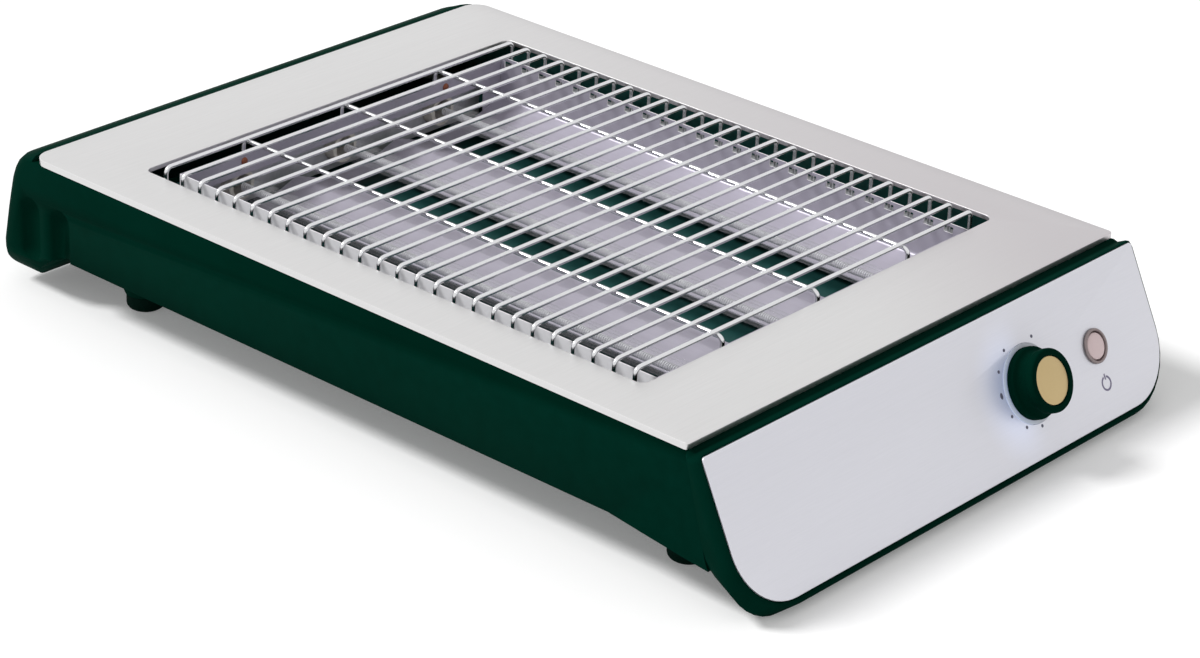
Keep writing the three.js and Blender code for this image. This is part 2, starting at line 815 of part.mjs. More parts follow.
function makeFrontCap() {
  const recessFloor = panelSheet + fitGap;
  let hollow = capForm(capWall, recessFloor + capWall);
  // Low down the cap is closed behind: all across under the base's deep part, and beside it.
  const rearWall = (z0, z1, x0, x1) => prism(
    polygon([
      [seamY(z0) - capWall, z0],
      [0, z0],
      [0, z1],
      [seamY(z1) - capWall, z1],
    ]),
    "x", x0, x1,
  );
  const low = -overrun;
  const wall = wellHalf + baseSheet + fitGap;
  hollow = cut(
    hollow,
    rearWall(low, wellTop + fitGap, -plateHalf, plateHalf),
    rearWall(low, baseTop + fitGap, -plateHalf, -wall),
    rearWall(low, baseTop + fitGap, wall, plateHalf),
  );
  let body = cut(capForm(0, panelProud), hollow);
  // The top of the seam stands upright, just in front of the plate.
  const frontOfPlate = box(
    -plateHalf - overrun, plateHalf + overrun, -plateEnd - fitGap, 0,
    plateTop - seamTop, plateTop + overrun,
  );
  body = cut(body, frontOfPlate);
  const recess = prism(
    roundedRectangle(
      -panelWidth / 2 - fitGap, panelWidth / 2 + fitGap, -panelHeight - fitGap, fitGap,
      panelCorner + fitGap, panelTopCorner + fitGap,
    ),
    "z", -recessFloor, overrun, 8,
  );
  body = cut(body, placed(recess, panelPlace));
  // Lugs over the front edge of the base take two screws.
  for (const side of [-1, 1]) {
    const lugBottom = baseTop + fitGap;
    const lugTop = lugBottom + capWall;
    const y0 = seamY(lugBottom) - capWall;
    const x = side * lugX;
    body = join(
      body,
      box(x - lugWidth / 2, x + lugWidth / 2, y0, y0 + lugReach, lugBottom, lugTop),
    );
    const hole = rod(screwRadius + fitGap, lugBottom - overrun, lugTop + overrun, 10);
    body = cut(body, placed(hole, at(x, capScrewY(), 0)));
  }
  const through = -recessFloor - capWall - overrun;
  const neckHole = rod(neckRadius + fitGap, through, overrun, 20);
  const bezelHole = rod(bezelTube + fitGap, through, overrun, 20);
  return cut(
    body,
    placed(neckHole, onPanel(knobX, knobDown, 0)),
    placed(bezelHole, onPanel(buttonX, buttonDown, 0)),
  );
}

function capScrewY() {
  return seamY(baseTop + fitGap) - capWall + lugReach - lugWidth / 2;
}

function makeBaseCover() {
  const half = housingHalf - housingWall - baseInset;
  const bottom = baseTop - baseSheet;
  const back = openEnd - fitGap;
  const front = seamY(baseTop) + fitGap;
  let body = box(-half, half, front, back, bottom, baseTop);
  const wellFloor = wellTop - baseSheet;
  const wellSide = (inset, z0, z1, y1) => prism(
    polygon([
      [seamY(z0) + fitGap - inset, z0],
      [y1, z0],
      [y1, z1],
      [seamY(z1) + fitGap - inset, z1],
    ]),
    "x", -wellHalf - baseSheet + inset, wellHalf + baseSheet - inset,
  );
  const wellBack = front + wellRun;
  body = join(body, wellSide(0, wellFloor, baseTop, wellBack));
  const hollow = box(
    -wellHalf, wellHalf, -plateEnd - ledgeDepth - panelHeight, wellBack - baseSheet,
    wellTop, baseTop + overrun,
  );
  body = cut(body, hollow);
  for (const [x, y] of footPlaces()) {
    const boss = turned([
      [0, footHeight], [footBossFoot, footHeight],
      [footBossFoot + footRound, footHeight + (bottom - footHeight) / 2],
      [footBossTop, bottom], [footBossTop, baseTop], [0, baseTop],
    ], 20);
    body = join(body, placed(boss, at(x, y, 0)));
    const socketTop = footHeight + footStemLength + fitGap;
    const socket = rod(footStem + fitGap, footHeight - overrun, socketTop, 12);
    body = cut(body, placed(socket, at(x, y, 0)));
  }
  // The bosses don't reach into the deep part.
  body = cut(body, hollow);
  const holes = screwPlaces();
  holes.push([-lugX, capScrewY()], [lugX, capScrewY()]);
  for (const [x, y] of holes) {
    const hole = rod(screwRadius + fitGap, bottom - overrun, baseTop + overrun, 10);
    body = cut(body, placed(hole, at(x, y, 0)));
  }
  const vents = [];
  for (let i = 0; i < ventRows; i++) {
    const y = (i - (ventRows - 1) / 2) * ventPitch;
    for (const side of [-1, 1]) {
      const x = side * longSpacing;
      vents.push(box(
        x - ventLength / 2, x + ventLength / 2, y - ventWidth / 2, y + ventWidth / 2,
        bottom - overrun, baseTop + overrun,
      ));
    }
  }
  body = cut(body, ...vents);
  // Runners for the crumb tray.
  for (const side of [-1, 1]) {
    const x = side * (trayWidth / 2 - trayRunnerWidth);
    body = join(body, box(
      x - trayRunnerWidth / 2, x + trayRunnerWidth / 2, -trayFront, back - baseSheet,
      baseTop - baseSheet / 2, trayRise - fitGap,
    ));
  }
  return body;
}

function footPlaces() {
  const places = [];
  for (const y of [-plateEnd + footFront, plateEnd - footBack]) {
    for (const side of [-1, 1]) places.push([side * footSpread, y]);
  }
  return places;
}

function makeFoot() {
  const top = footHeight - fitGap;
  const ease = footRound * (1 - Math.SQRT1_2);
  return turned([
    [0, 0], [footRadius - footRound, 0], [footRadius - ease, ease], [footRadius, footRound],
    [footRadius, top],
    [footStem, top], [footStem, footHeight + footStemLength - fitGap],
    [0, footHeight + footStemLength - fitGap],
  ], 20);
}

function makeTopPlate() {
  const outline = (inset) => roundedRectangle(
    -plateHalf + inset, plateHalf - inset, -plateEnd + inset, plateEnd - inset,
    plateFrontCorner, plateBackCorner - inset,
  );
  const opening = (inset) => {
    const half = windowWidth / 2 + inset;
    const end = windowLength / 2 + inset;
    return roundedRectangle(-half, half, -end, end, windowCorner, windowCorner);
  };
  const under = plateTop - plateSheet;
  const pan = cut(
    prism(outline(0), "z", plateTop - plateFold, plateTop, 4),
    prism(outline(plateSheet), "z", plateTop - plateFold - overrun, under, 4),
  );
  const lip = prism(opening(plateSheet), "z", plateTop - windowLip, under + plateSheet / 2, 4);
  const hole = prism(opening(0), "z", plateTop - windowLip - overrun, plateTop + overrun, 4);
  return cut(join(pan, lip), hole);
}

// The points of a wire that runs level between two bends and down at both ends.
function staple(half, top, bottom, lift) {
  const points = [];
  const steps = 3;
  points.push([-half, bottom]);
  for (let i = 0; i <= steps; i++) {
    const angle = (Math.PI / 2) * (i / steps);
    const x = -half + wireBend * (1 - Math.cos(angle));
    points.push([x, top - wireBend + wireBend * Math.sin(angle)]);
  }
  const mirror = points.map(([x, z]) => [-x, z]).reverse();
  return [...points, ...mirror].map(([x, z]) => lift(x, z));
}

function makeGrillRack() {
  const wires = [];
  const legEnd = plateTop - legDepth;
  for (let i = 0; i < wireCount; i++) {
    const y = -rackSpan / 2 + i * wirePitch;
    const points = staple(legSpread, wireZ, legEnd, (x, z) => new THREE.Vector3(x, y, z));
    wires.push(tube(new CornerPath(points), points.length - 1, wireRadius, wireSides));
  }
  const longEnd = plateTop - longLegDepth;
  for (const x of [-longSpacing, 0, longSpacing]) {
    const points = staple(longReach, longZ, longEnd, (y, z) => new THREE.Vector3(x, y, z));
    wires.push(tube(new CornerPath(points), points.length - 1, wireRadius, wireSides));
  }
  return join(...wires);
}

function makeRail(side) {
  const half = railWidth / 2;
  const end = bulkheadStart - fitGap;
  const top = plateTop - railDepth;
  let rail = box(-half, half, -end, end, top - railSheet, top);
  const outer = side * half;
  const inner = side * (half - railSheet);
  rail = join(rail, box(
    Math.min(outer, inner), Math.max(outer, inner), -end, end, top - railSheet - railLip, top,
  ));
  rail = placed(rail, at(side * legSpread, 0, 0));
  const holes = [];
  for (let i = 0; i < wireCount; i++) {
    const y = -rackSpan / 2 + i * wirePitch;
    const hole = rod(wireRadius + fitGap, top - railSheet - overrun, top + overrun, wireSides);
    holes.push(placed(hole, at(side * legSpread, y, 0)));
  }
  return cut(rail, ...holes);
}

function makeReflector() {
  const half = reflectorWidth / 2;
  const end = reflectorLength / 2;
  const z = (drop) => plateTop - drop;
  const slotHalf = crumbSlotWidth / 2;
  const ridge = tubeSpacing / 2;
  const flank = tubeSpacing - slotHalf;
  // The right half of the section from the middle out to the rim, then mirrored.
  const right = [
    [slotHalf, z(reflectorFloor)],
    [ridge, z(ridgeDrop)],
    [flank, z(reflectorFloor)],
    [tubeSpacing + slotHalf, z(reflectorFloor)],
    [half, z(wallFoot)],
    [half, z(reflectorDrop)],
  ];
  const left = right.map(([x, y]) => [-x, y]).reverse();
  const upper = [...left, ...right];
  const lower = upper
    .map(([x, y]) => {
      const out = Math.abs(x) === half ? Math.sign(x) * reflectorSheet : 0;
      return [x + out, y === z(reflectorDrop) ? y : y - reflectorSheet];
    })
    .reverse();
  const seat = reflectorSheet / 2;
  let body = prism(polygon([...lower, ...upper]), "y", -end - frontReach, end + seat);
  // Each end is closed by a plate, cut away low down between its two feet.
  const foot = half - endFoot;
  const endPlate = (top) => polygon([
    [-half - seat, z(reflectorFloor)], [-foot, z(reflectorFloor)], [-foot, z(endWallDrop)],
    [foot, z(endWallDrop)], [foot, z(reflectorFloor)], [half + seat, z(reflectorFloor)],
    [half + seat, top], [-half - seat, top],
  ]);
  body = join(
    body,
    prism(endPlate(z(reflectorDrop) - fitGap), "y", end, end + reflectorSheet),
    prism(endPlate(z(frontWallDrop)), "y", -end - reflectorSheet, -end),
  );
  const cuts = [];
  for (const x of [-tubeSpacing, 0, tubeSpacing]) {
    cuts.push(box(
      x - slotHalf + reflectorSheet, x + slotHalf - reflectorSheet,
      -end + crumbSlotInset, end - crumbSlotInset,
      z(reflectorFloor) - reflectorSheet - overrun, z(reflectorFloor) + fitGap,
    ));
  }
  // The photo shows the row of small slots in the right wall only.
  for (let i = 0; i + 1 < wireCount; i++) {
    const y = -rackSpan / 2 + (i + 1 / 2) * wirePitch;
    cuts.push(box(
      0, half + overrun, y - rimSlotLength / 2, y + rimSlotLength / 2,
      z(rimSlotDrop) - rimSlotHeight / 2, z(rimSlotDrop) + rimSlotHeight / 2,
    ));
  }
  return cut(body, ...cuts);
}

function makeCeramic() {
  const open = ceramicLength - ceramicBottom;
  const ease = fitGap;
  return turned([
    [0, ceramicLength], [ceramicRadius - ease, ceramicLength],
    [ceramicRadius, ceramicLength - ease], [ceramicRadius, ease], [ceramicRadius - ease, 0],
    [tubeRadius + fitGap, 0], [tubeRadius + fitGap, open], [0, open],
  ], 20);
}

function makeBracket(side) {
  const half = bracketWidth / 2;
  const top = plateTop - bracketFlange;
  const bottom = plateTop - bracketBottom;
  let body = join(
    box(-half, half, bracketPlace, bracketPlace + bracketSheet, bottom, top),
    box(-half, half, bracketPlace - flangeReach, bracketPlace + bracketSheet, top - bracketSheet, top),
  );
  for (const x of [-tubeSpacing, 0, tubeSpacing]) {
    const hole = rod(ceramicRadius + fitGap, -overrun, bracketSheet + overrun, 20);
    body = cut(body, placed(hole, at(x, bracketPlace, tubeZ).multiply(lying(1))));
  }
  for (const x of [-longSpacing, 0, longSpacing]) {
    const hole = rod(wireRadius + fitGap, top - bracketSheet - overrun, top + overrun, wireSides);
    body = cut(body, placed(hole, at(x, longReach, 0)));
  }
  return side > 0 ? body : placed(body, new THREE.Matrix4().makeRotationZ(Math.PI));
}

function makeCrumbTray() {
  const half = trayWidth / 2;
  const back = backY(trayTop) - housingWall;
  return cut(
    box(-half, half, -trayFront, back, trayRise, trayTop),
    box(
      -half + traySheet, half - traySheet, -trayFront + traySheet, back - traySheet,
      trayRise + traySheet, trayTop + overrun,
    ),
  );
}

function makeTrayHandle() {
  const gap = slipGap;
  const trayEnd = backY(trayTop) - housingWall + fitGap;
  const high = handleTop;
  const low = handleBottom;
  const outline = polygon([
    [backY(low) + gap, low],
    [backY(low) + gap + handleLip, low],
    [backY(low) + gap + handleLip, low + handleSheet],
    [backY(trayRise) + gap + handleSheet, trayRise],
    [backY(high) + gap + handleSheet, high],
    [backY(high) + gap, high],
    [backY(trayTop) + gap, trayTop],
    [backY(trayRise) + gap, trayRise],
  ]);
  const plate = prism(outline, "x", -handleWidth / 2, handleWidth / 2);
  const tongue = box(
    -handleWidth / 2, handleWidth / 2, trayEnd, backY(trayTop) + gap + handleSheet / 2,
    trayRise + traySheet, trayTop - traySheet,
  );
  return join(plate, tongue);
}

function makePanel() {
  const outline = roundedRectangle(
    -panelWidth / 2, panelWidth / 2, -panelHeight, 0, panelCorner, panelTopCorner,
  );
  const ringHole = rod(ringRadius + fitGap, -panelSheet - overrun, overrun, knobSides);
  const buttonHole = rod(bezelTube + fitGap, -panelSheet - overrun, overrun, 20);
  return cut(
    prism(outline, "z", -panelSheet, 0, 8),
    placed(ringHole, at(knobX, -knobDown, 0)),
    placed(buttonHole, at(buttonX, -buttonDown, 0)),
  );
}

// The pieces on the panel are made upright at the origin and then set on the slope.
function makeKnob() {
  const low = knobLift;
  const high = knobHeight;
  const waistLow = low + flangeDepth + knobEase;
  const waistHigh = high - discDepth - knobEase;
  const nutRoom = -panelSheet + fitGap + nutHeight + slipGap;
  const body = turned([
    [0, low],
    [flangeRadius - knobEase, low],
    [flangeRadius, low + knobEase],
    [flangeRadius, low + flangeDepth - knobEase],
    [waistRadius, waistLow],
    [waistRadius, waistHigh],
    [discRadius, high - discDepth],
    [discRadius, high - knobEase],
    [discRadius - knobEase, high],
    [0, high],
  ], knobSides);
  return cut(
    body,
    rod(nutRadius + slipGap, low - overrun, nutRoom + low, 20),
    rod(shaftRadius + fitGap, low - overrun, shaftTop + fitGap, 16),
    rod(capRadius + fitGap, high - capSink - capDisc - fitGap, high + overrun, knobSides),
  );
}

function makeKnobCap() {
  const high = knobHeight - capSink;
  const low = high - capDisc;
  const ease = capDisc / 3;
  return turned([
    [0, low], [capRadius, low], [capRadius, high - ease], [capRadius - ease, high], [0, high],
  ], knobSides);
}

function makeShaft() {
  const shaft = rod(shaftRadius, -shaftStart, shaftTop, 16);
  const flat = box(
    shaftRadius / 2, shaftRadius + overrun, -shaftRadius, shaftRadius, knobLift, shaftTop + overrun,
  );
  return cut(shaft, flat);
}

function makeTimer() {
  const front = -panelSheet - capWall - 2 * fitGap;
  const body = join(
    box(
      -timerWidth / 2, timerWidth / 2, -timerHeight / 2, timerHeight / 2,
      front - timerDepth, front,
    ),
    rod(neckRadius, front - fitGap, -panelSheet + fitGap + nutHeight, 20),
  );
  return cut(body, rod(shaftRadius + fitGap, -shaftStart - fitGap, overrun + nutHeight, 16));
}

function makeNut() {
  const low = -panelSheet;
  return cut(
    rod(nutRadius, low, low + nutHeight, 6),
    rod(neckRadius + fitGap, low - overrun, low + nutHeight + overrun, 20),
  );
}

function makeLightRing() {
  const low = -panelSheet;
  const ease = ringProud;
  return turned([
    [ringBore, low], [ringRadius, low], [ringRadius, 0], [ringRadius - ease, ringProud],
    [ringBore, ringProud], [ringBore, low],
  ], knobSides);
}

function makeBezel() {
  const low = -bezelDepth;
  const bore = buttonRadius + fitGap;
  return turned([
    [bore, low], [bezelTube, low], [bezelTube, fitGap], [bezelRadius, fitGap],
    [bezelRadius, bezelHeight / 2 + fitGap], [bezelTube, bezelHeight + fitGap],
    [bore, bezelHeight + fitGap], [bore, low],
  ], 24);
}

function makeButton() {
  const low = -buttonDepth + buttonProud;
  return turned([
    [0, low - buttonStemLength], [buttonStem, low - buttonStemLength], [buttonStem, low],
    [buttonRadius, low], [buttonRadius, buttonProud - fitGap],
    [buttonRadius / 2, buttonProud - fitGap / 2], [0, buttonProud],
  ], 24);
}

function makeSwitch() {
  const front = -bezelDepth - fitGap;
  const stemRoom = rod(
    buttonStem + slipGap, -buttonDepth + buttonProud - buttonStemLength - buttonTravel - slipGap,
    front + overrun, 12,
  );
  return cut(
    box(
      -switchWidth / 2, switchWidth / 2, -switchHeight / 2, switchHeight / 2,
      front - switchDepth, front,
    ),
    stemRoom,
  );
}

function makeGland() {
  const out = fitGap;
  return turned([
    [glandBore, -glandInner], [glandRadius, -glandInner], [glandRadius, out],
    [glandFlange, out], [glandFlange, out + glandFlangeDepth / 2],
    [glandRadius, out + glandFlangeDepth], [glandBore, out + glandFlangeDepth],
    [glandBore, -glandInner],
  ], 20);
}

function makeScrew(bottom, length) {
  return turned([
    [0, bottom - screwHeadDepth], [screwHead / 2, bottom - screwHeadDepth],
    [screwHead, bottom - screwHeadDepth / 2], [screwHead, bottom - fitGap],
    [screwRadius, bottom - fitGap], [screwRadius, bottom + length], [0, bottom + length],
  ], 12);
}

function makeLead(points) {
  const curve = new THREE.CatmullRomCurve3(points.map((p) => new THREE.Vector3(...p)));
  return tube(curve, leadSteps, leadRadius, leadSides);
}

// Casings
add("housing", makeHousing(), greenPlastic);
add("front_cap", makeFrontCap(), greenPlastic);
add("base_cover", makeBaseCover(), greenPlastic);
add("top_plate", makeTopPlate(), steel);
add("control_panel", placed(makePanel(), panelPlace), satinPanel);

const sideNames = { "-1": "left", 1: "right" };
const endNames = { "-1": "front", 1: "back" };
for (const [x, y] of footPlaces()) {
  const name = "foot_" + endNames[Math.sign(y)] + "_" + sideNames[Math.sign(x)];
  add(name, placed(makeFoot(), at(x, y, 0)), rubber);
}

// Grill, rails and heating
add("grill_rack", makeGrillRack(), brightWire);
for (const side of [-1, 1]) add("rack_rail_" + sideNames[side], makeRail(side), galvanised);
add("reflector", makeReflector(), polished);
const tubeNames = ["left", "centre", "right"];
tubeNames.forEach((name, index) => {
  const x = (index - 1) * tubeSpacing;
  const place = at(x, 0, tubeZ).multiply(lying(1));
  const wall = turned([
    [tubeBore, -tubeHalf], [tubeRadius, -tubeHalf], [tubeRadius, tubeHalf],
    [tubeBore, tubeHalf], [tubeBore, -tubeHalf],
  ], 16);
  add("heating_tube_" + name, placed(wall, place), quartz);
  add("heating_coil_" + name, placed(rod(coilRadius, -coilHalf, coilHalf, 10), place), coilMetal);
  for (const side of [-1, 1]) {
    const end = at(x, side * ceramicStart, tubeZ).multiply(lying(side));
    add("tube_end_" + name + "_" + endNames[side], placed(makeCeramic(), end), ceramic);
  }
});
const linkStart = ceramicStart + ceramicLength + fitGap;
for (const side of [-1, 1]) {
  add("heater_bracket_" + endNames[side], makeBracket(side), galvanised);
  const y0 = side * linkStart;
  const y1 = side * (linkStart + linkSheet);
  const reach = tubeSpacing + ceramicRadius;
  const strip = box(
    -reach, reach, Math.min(y0, y1), Math.max(y0, y1),
    tubeZ - linkHeight / 2, tubeZ + linkHeight / 2,
  );
  add("heater_link_" + endNames[side], strip, galvanised);
}

// Crumb tray
add("crumb_tray", makeCrumbTray(), polished);
add("tray_handle", makeTrayHandle(), greenPlastic);

// Controls
const knobPlace = onPanel(knobX, knobDown, 0);
const buttonPlace = onPanel(buttonX, buttonDown, 0);
add("timer_knob", placed(makeKnob(), knobPlace), greenPlastic);
add("knob_cap", placed(makeKnobCap(), knobPlace), gold);
add("timer_shaft", placed(makeShaft(), knobPlace), galvanised);
add("timer_body", placed(makeTimer(), knobPlace), blackPlastic);
add("timer_nut", placed(makeNut(), knobPlace), galvanised);
add("light_ring", placed(makeLightRing(), knobPlace), paleGlow);
add("button_bezel", placed(makeBezel(), buttonPlace), steel);
add("stop_button", placed(makeButton(), buttonPlace), buttonPink);
add("switch_body", placed(makeSwitch(), buttonPlace), blackPlastic);

// Electrics
add("cord_gland", placed(makeGland(), glandPlace()), blackPlastic);
const blockFront = bulkheadStart + bulkheadWall + fitGap;
const blockBottom = bulkheadFoot + slipGap;
add(
  "terminal_block",
  box(
    terminalX, terminalX + terminalWidth, blockFront, blockFront + terminalDepth,
    blockBottom, blockBottom + terminalHeight,
  ),
  blackPlastic,
);
const blockBack = blockFront + terminalDepth;
const blockMiddle = blockBottom + terminalHeight / 2;
const leadClear = leadRadius + fitGap;
// The gland's core turns down into the block, and the long lead runs past it to the timer.
const supply = [
  [glandX, backY(glandHeight) - glandInner - leadClear, glandHeight],
  [glandX, (backY(glandHeight) + blockBack) / 2, (glandHeight + blockMiddle) / 2],
  [glandX, blockBack + leadClear, blockMiddle],
];
add("supply_lead", makeLead(supply), leadSleeve);
const timerMiddle = -panelSheet - capWall - timerDepth / 2;
const timerSide = timerHeight / 2 + fitGap;
const timerEnd = new THREE.Vector3(0, timerSide, timerMiddle).applyMatrix4(knobPlace);
const timerNear = new THREE.Vector3(0, timerSide + leadTurn, timerMiddle).applyMatrix4(knobPlace);
const timerLead = [
  [terminalX + terminalWidth + leadClear, blockFront + terminalDepth / 2, blockMiddle],
  [leadX, blockFront + terminalDepth / 3, leadHeight],
  [leadX, bulkheadStart, leadHeight],
  [leadX, 0, leadHeight],
  [leadX, -bulkheadStart, leadHeight],
  [leadX, -bulkheadStart - bulkheadWall - leadTurn, leadHeight],
  timerNear.toArray(),
  timerEnd.toArray(),
];
add("timer_lead", makeLead(timerLead), leadSleeve);

// Screws
const baseBottom = baseTop - baseSheet;
screwPlaces().forEach(([x, y]) => {
  const name = "base_screw_" + endNames[Math.sign(y)] + "_" + sideNames[Math.sign(x)];
  add(name, placed(makeScrew(baseBottom, screwLength), at(x, y, 0)), galvanised);
});
for (const side of [-1, 1]) {
  const length = baseSheet + capWall + fitGap;
  const place = at(side * lugX, capScrewY(), 0);
  add("cap_screw_" + sideNames[side], placed(makeScrew(baseBottom, length), place), galvanised);
}

// The origin is the middle of the footprint, on the table.
const bounds = new THREE.Box3().setFromObject(group);
const middle = bounds.getCenter(new THREE.Vector3());
group.position.set(-middle.x, -middle.y, -bounds.min.z);

export default group;
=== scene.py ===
# %% [markdown]
# # A horizontal toaster, dressed in Blender
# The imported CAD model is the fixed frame: it has the right sizes, and every piece here is made
# where a CAD node already is. The lesson goes in a maker's order: camera, steel plate, control
# panel, grill, heaters, casings, light and finishes.

# %% Load the frame
import json
import math

import bmesh
import bpy
from mathutils import Matrix, Vector


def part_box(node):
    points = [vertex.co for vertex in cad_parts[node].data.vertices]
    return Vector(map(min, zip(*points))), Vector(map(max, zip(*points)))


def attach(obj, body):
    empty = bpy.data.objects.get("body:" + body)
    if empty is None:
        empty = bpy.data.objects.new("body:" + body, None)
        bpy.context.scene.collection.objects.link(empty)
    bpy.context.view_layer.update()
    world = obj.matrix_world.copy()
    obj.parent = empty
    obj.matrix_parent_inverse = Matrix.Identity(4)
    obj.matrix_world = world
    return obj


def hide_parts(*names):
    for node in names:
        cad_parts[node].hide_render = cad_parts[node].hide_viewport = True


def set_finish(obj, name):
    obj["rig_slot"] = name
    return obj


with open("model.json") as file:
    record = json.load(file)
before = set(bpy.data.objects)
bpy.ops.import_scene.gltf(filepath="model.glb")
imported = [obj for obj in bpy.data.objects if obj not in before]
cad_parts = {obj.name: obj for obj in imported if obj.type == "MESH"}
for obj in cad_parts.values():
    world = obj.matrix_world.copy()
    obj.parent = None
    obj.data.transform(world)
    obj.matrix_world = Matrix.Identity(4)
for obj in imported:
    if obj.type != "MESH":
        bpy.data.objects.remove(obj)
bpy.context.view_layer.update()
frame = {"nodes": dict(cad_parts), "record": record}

# %% [markdown]
# ## Sizes that many pieces share
# Blender counts in metres and drawings in millimetres, so one name holds the millimetre. A
# maker measures from the plate, so the middle of its top face is the zero here.

# %% Shared sizes
mm = 0.001
plate_low, plate_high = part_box("top_plate")
middle_y = (plate_low.y + plate_high.y) / 2
plate_top = plate_high.z
half_width = (plate_high.x - plate_low.x) / 2
half_length = (plate_high.y - plate_low.y) / 2
print("plate", round(2 * half_width / mm, 1), "x", round(2 * half_length / mm, 1), "mm")


def place(x, y, z):
    """A point in millimetres from the middle of the plate's top face."""
    return Vector((x * mm, middle_y + y * mm, plate_top + z * mm))


# %% [markdown]
# ## The camera
# The photograph was taken from the front left, a little above, with a long lens. A camera could
# be aimed with a Track To constraint, but two turns and a roll say exactly how it is held; then
# it stands back along its own axis.

# %% Camera
camera_turn, camera_rise, camera_roll = (math.radians(a) for a in (-49.565, 25.73, 2.6))
stand_back = Vector((13.068, -54.639, 1459.33)) * mm
camera_data = bpy.data.cameras.new("photo_camera")
camera_data.sensor_width = 36
camera_data.lens = 108.62
camera = bpy.data.objects.new("photo_camera", camera_data)
bpy.context.scene.collection.objects.link(camera)
camera.matrix_world = (
    Matrix.Translation(place(0, 0, 0)) @ Matrix.Rotation(camera_turn, 4, "Z")
    @ Matrix.Rotation(math.pi / 2 - camera_rise, 4, "X") @ Matrix.Rotation(camera_roll, 4, "Z")
    @ Matrix.Translation(stand_back))
bpy.context.scene.camera = camera
print("camera at", [round(c, 3) for c in camera.matrix_world.to_translation()])

# %% [markdown]
# ## Selecting by place
# Every tool of edit mode works on what is selected. On screen one clicks; here a small helper
# picks the faces, edges or vertices that pass a test, whatever their numbers are.

# %% Selection helpers
def deselect_all():
    if bpy.context.object and bpy.context.object.mode != "OBJECT":
        close_edit()
    bpy.ops.object.select_all(action="DESELECT")


def only(*pieces):
    """Selects these objects alone; the first is the active one."""
    deselect_all()
    for piece in pieces:
        piece.select_set(True)
    bpy.context.view_layer.objects.active = pieces[0]


def open_edit(piece):
    """Opens a piece in edit mode, with all of it selected."""
    only(piece)
    bpy.ops.object.mode_set(mode="EDIT")
    bpy.ops.mesh.select_all(action="SELECT")


def close_edit():
    bpy.ops.object.mode_set(mode="OBJECT")


def middle_of(element):
    return sum((v.co for v in element.verts), Vector()) / len(element.verts)


def pick(kind, test=lambda element: True):
    """In edit mode, selects the VERT, EDGE or FACE elements that pass the test."""
    bpy.ops.mesh.select_mode(type=kind)
    bpy.ops.mesh.select_all(action="DESELECT")
    mesh = bpy.context.object.data
    shape = bmesh.from_edit_mesh(mesh)
    elements = {"VERT": shape.verts, "EDGE": shape.edges, "FACE": shape.faces}[kind]
    passed = [element for element in elements if test(element)]
    for element in passed:
        element.select_set(True)
    shape.select_flush_mode()
    bmesh.update_edit_mesh(mesh)
    return len(passed)


def near(a, b):
    return abs(a - b) < 0.02 * mm


# %% [markdown]
# ## The tools of the workshop
# Most sheet and moulded parts are a flat face that is pushed out, given a wall and freed of its
# sharp edges. Extrude does the first, and the modifiers Solidify and Bevel do the rest with even
# widths, which is hard by hand.

# %% Shaping helpers
def start(primitive, **settings):
    """Adds a primitive with its operator, as the only thing selected."""
    deselect_all()
    primitive(**settings)
    return bpy.context.object


def push(x, y, z):
    """Extrudes what is selected, in millimetres."""
    bpy.ops.mesh.extrude_region_move(
        TRANSFORM_OT_translate={"value": (x * mm, y * mm, z * mm)})


def bevel(width, segments, affect="EDGES"):
    bpy.ops.mesh.bevel(offset=width * mm, segments=segments, affect=affect)


def freeze(piece, **changes):
    """Moves the object's place, turn and scale into its mesh, after these changes to them."""
    for name, value in changes.items():
        setattr(piece, name, value)
    only(piece)
    bpy.ops.object.transform_apply(location=True, rotation=True, scale=True)
    return piece


def apply_all(piece):
    only(piece)
    for modifier in list(piece.modifiers):
        bpy.ops.object.modifier_apply(modifier=modifier.name)


def thicken(piece, thickness, offset=-1.0):
    wall = piece.modifiers.new("wall", "SOLIDIFY")
    wall.thickness = thickness * mm
    wall.offset = offset
    wall.use_even_offset = True
    apply_all(piece)


def cut_out(piece, tool):
    """Takes the tool's space out of a piece, and then the tool away."""
    hole = piece.modifiers.new("hole", "BOOLEAN")
    hole.operation = "DIFFERENCE"
    hole.solver = "EXACT"
    hole.object = freeze(tool)
    apply_all(piece)
    bpy.data.objects.remove(tool)


# %% [markdown]
# ## Finishing a piece
# A finished piece keeps its place in its mesh, with the object at the origin. Its faces point
# outwards, and it is shaded smooth except over sharp edges. Then it gets its body, its slot in
# the record and the CAD nodes it stands for.

# %% Finishing helpers
made = []


def outward(piece):
    open_edit(piece)
    bpy.ops.mesh.remove_doubles(threshold=0.002 * mm)
    bpy.ops.mesh.normals_make_consistent(inside=False)
    close_edit()
    return piece


def join_pieces(name, pieces):
    only(*pieces)
    bpy.ops.object.join()
    bpy.context.object.name = name
    return bpy.context.object


def settle(piece, degrees, body, slot, *nodes):
    """Shades the piece and gives it its body, its slot and its CAD nodes."""
    freeze(piece)
    if degrees:
        bpy.ops.object.shade_smooth_by_angle(angle=math.radians(degrees))
    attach(piece, body)
    if slot:
        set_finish(piece, slot)
    if nodes:
        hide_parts(*nodes)
    made.append(piece)
    print(piece.name, "faces", len(piece.data.polygons), "size in mm",
          [round(side / mm, 1) for side in piece.dimensions])


# %% [markdown]
# ## Outlines with round corners
# Plate and panel have round corners. They could be drawn point by point; bevelling the corner
# vertices of a plane leaves a true arc, with a radius for each.

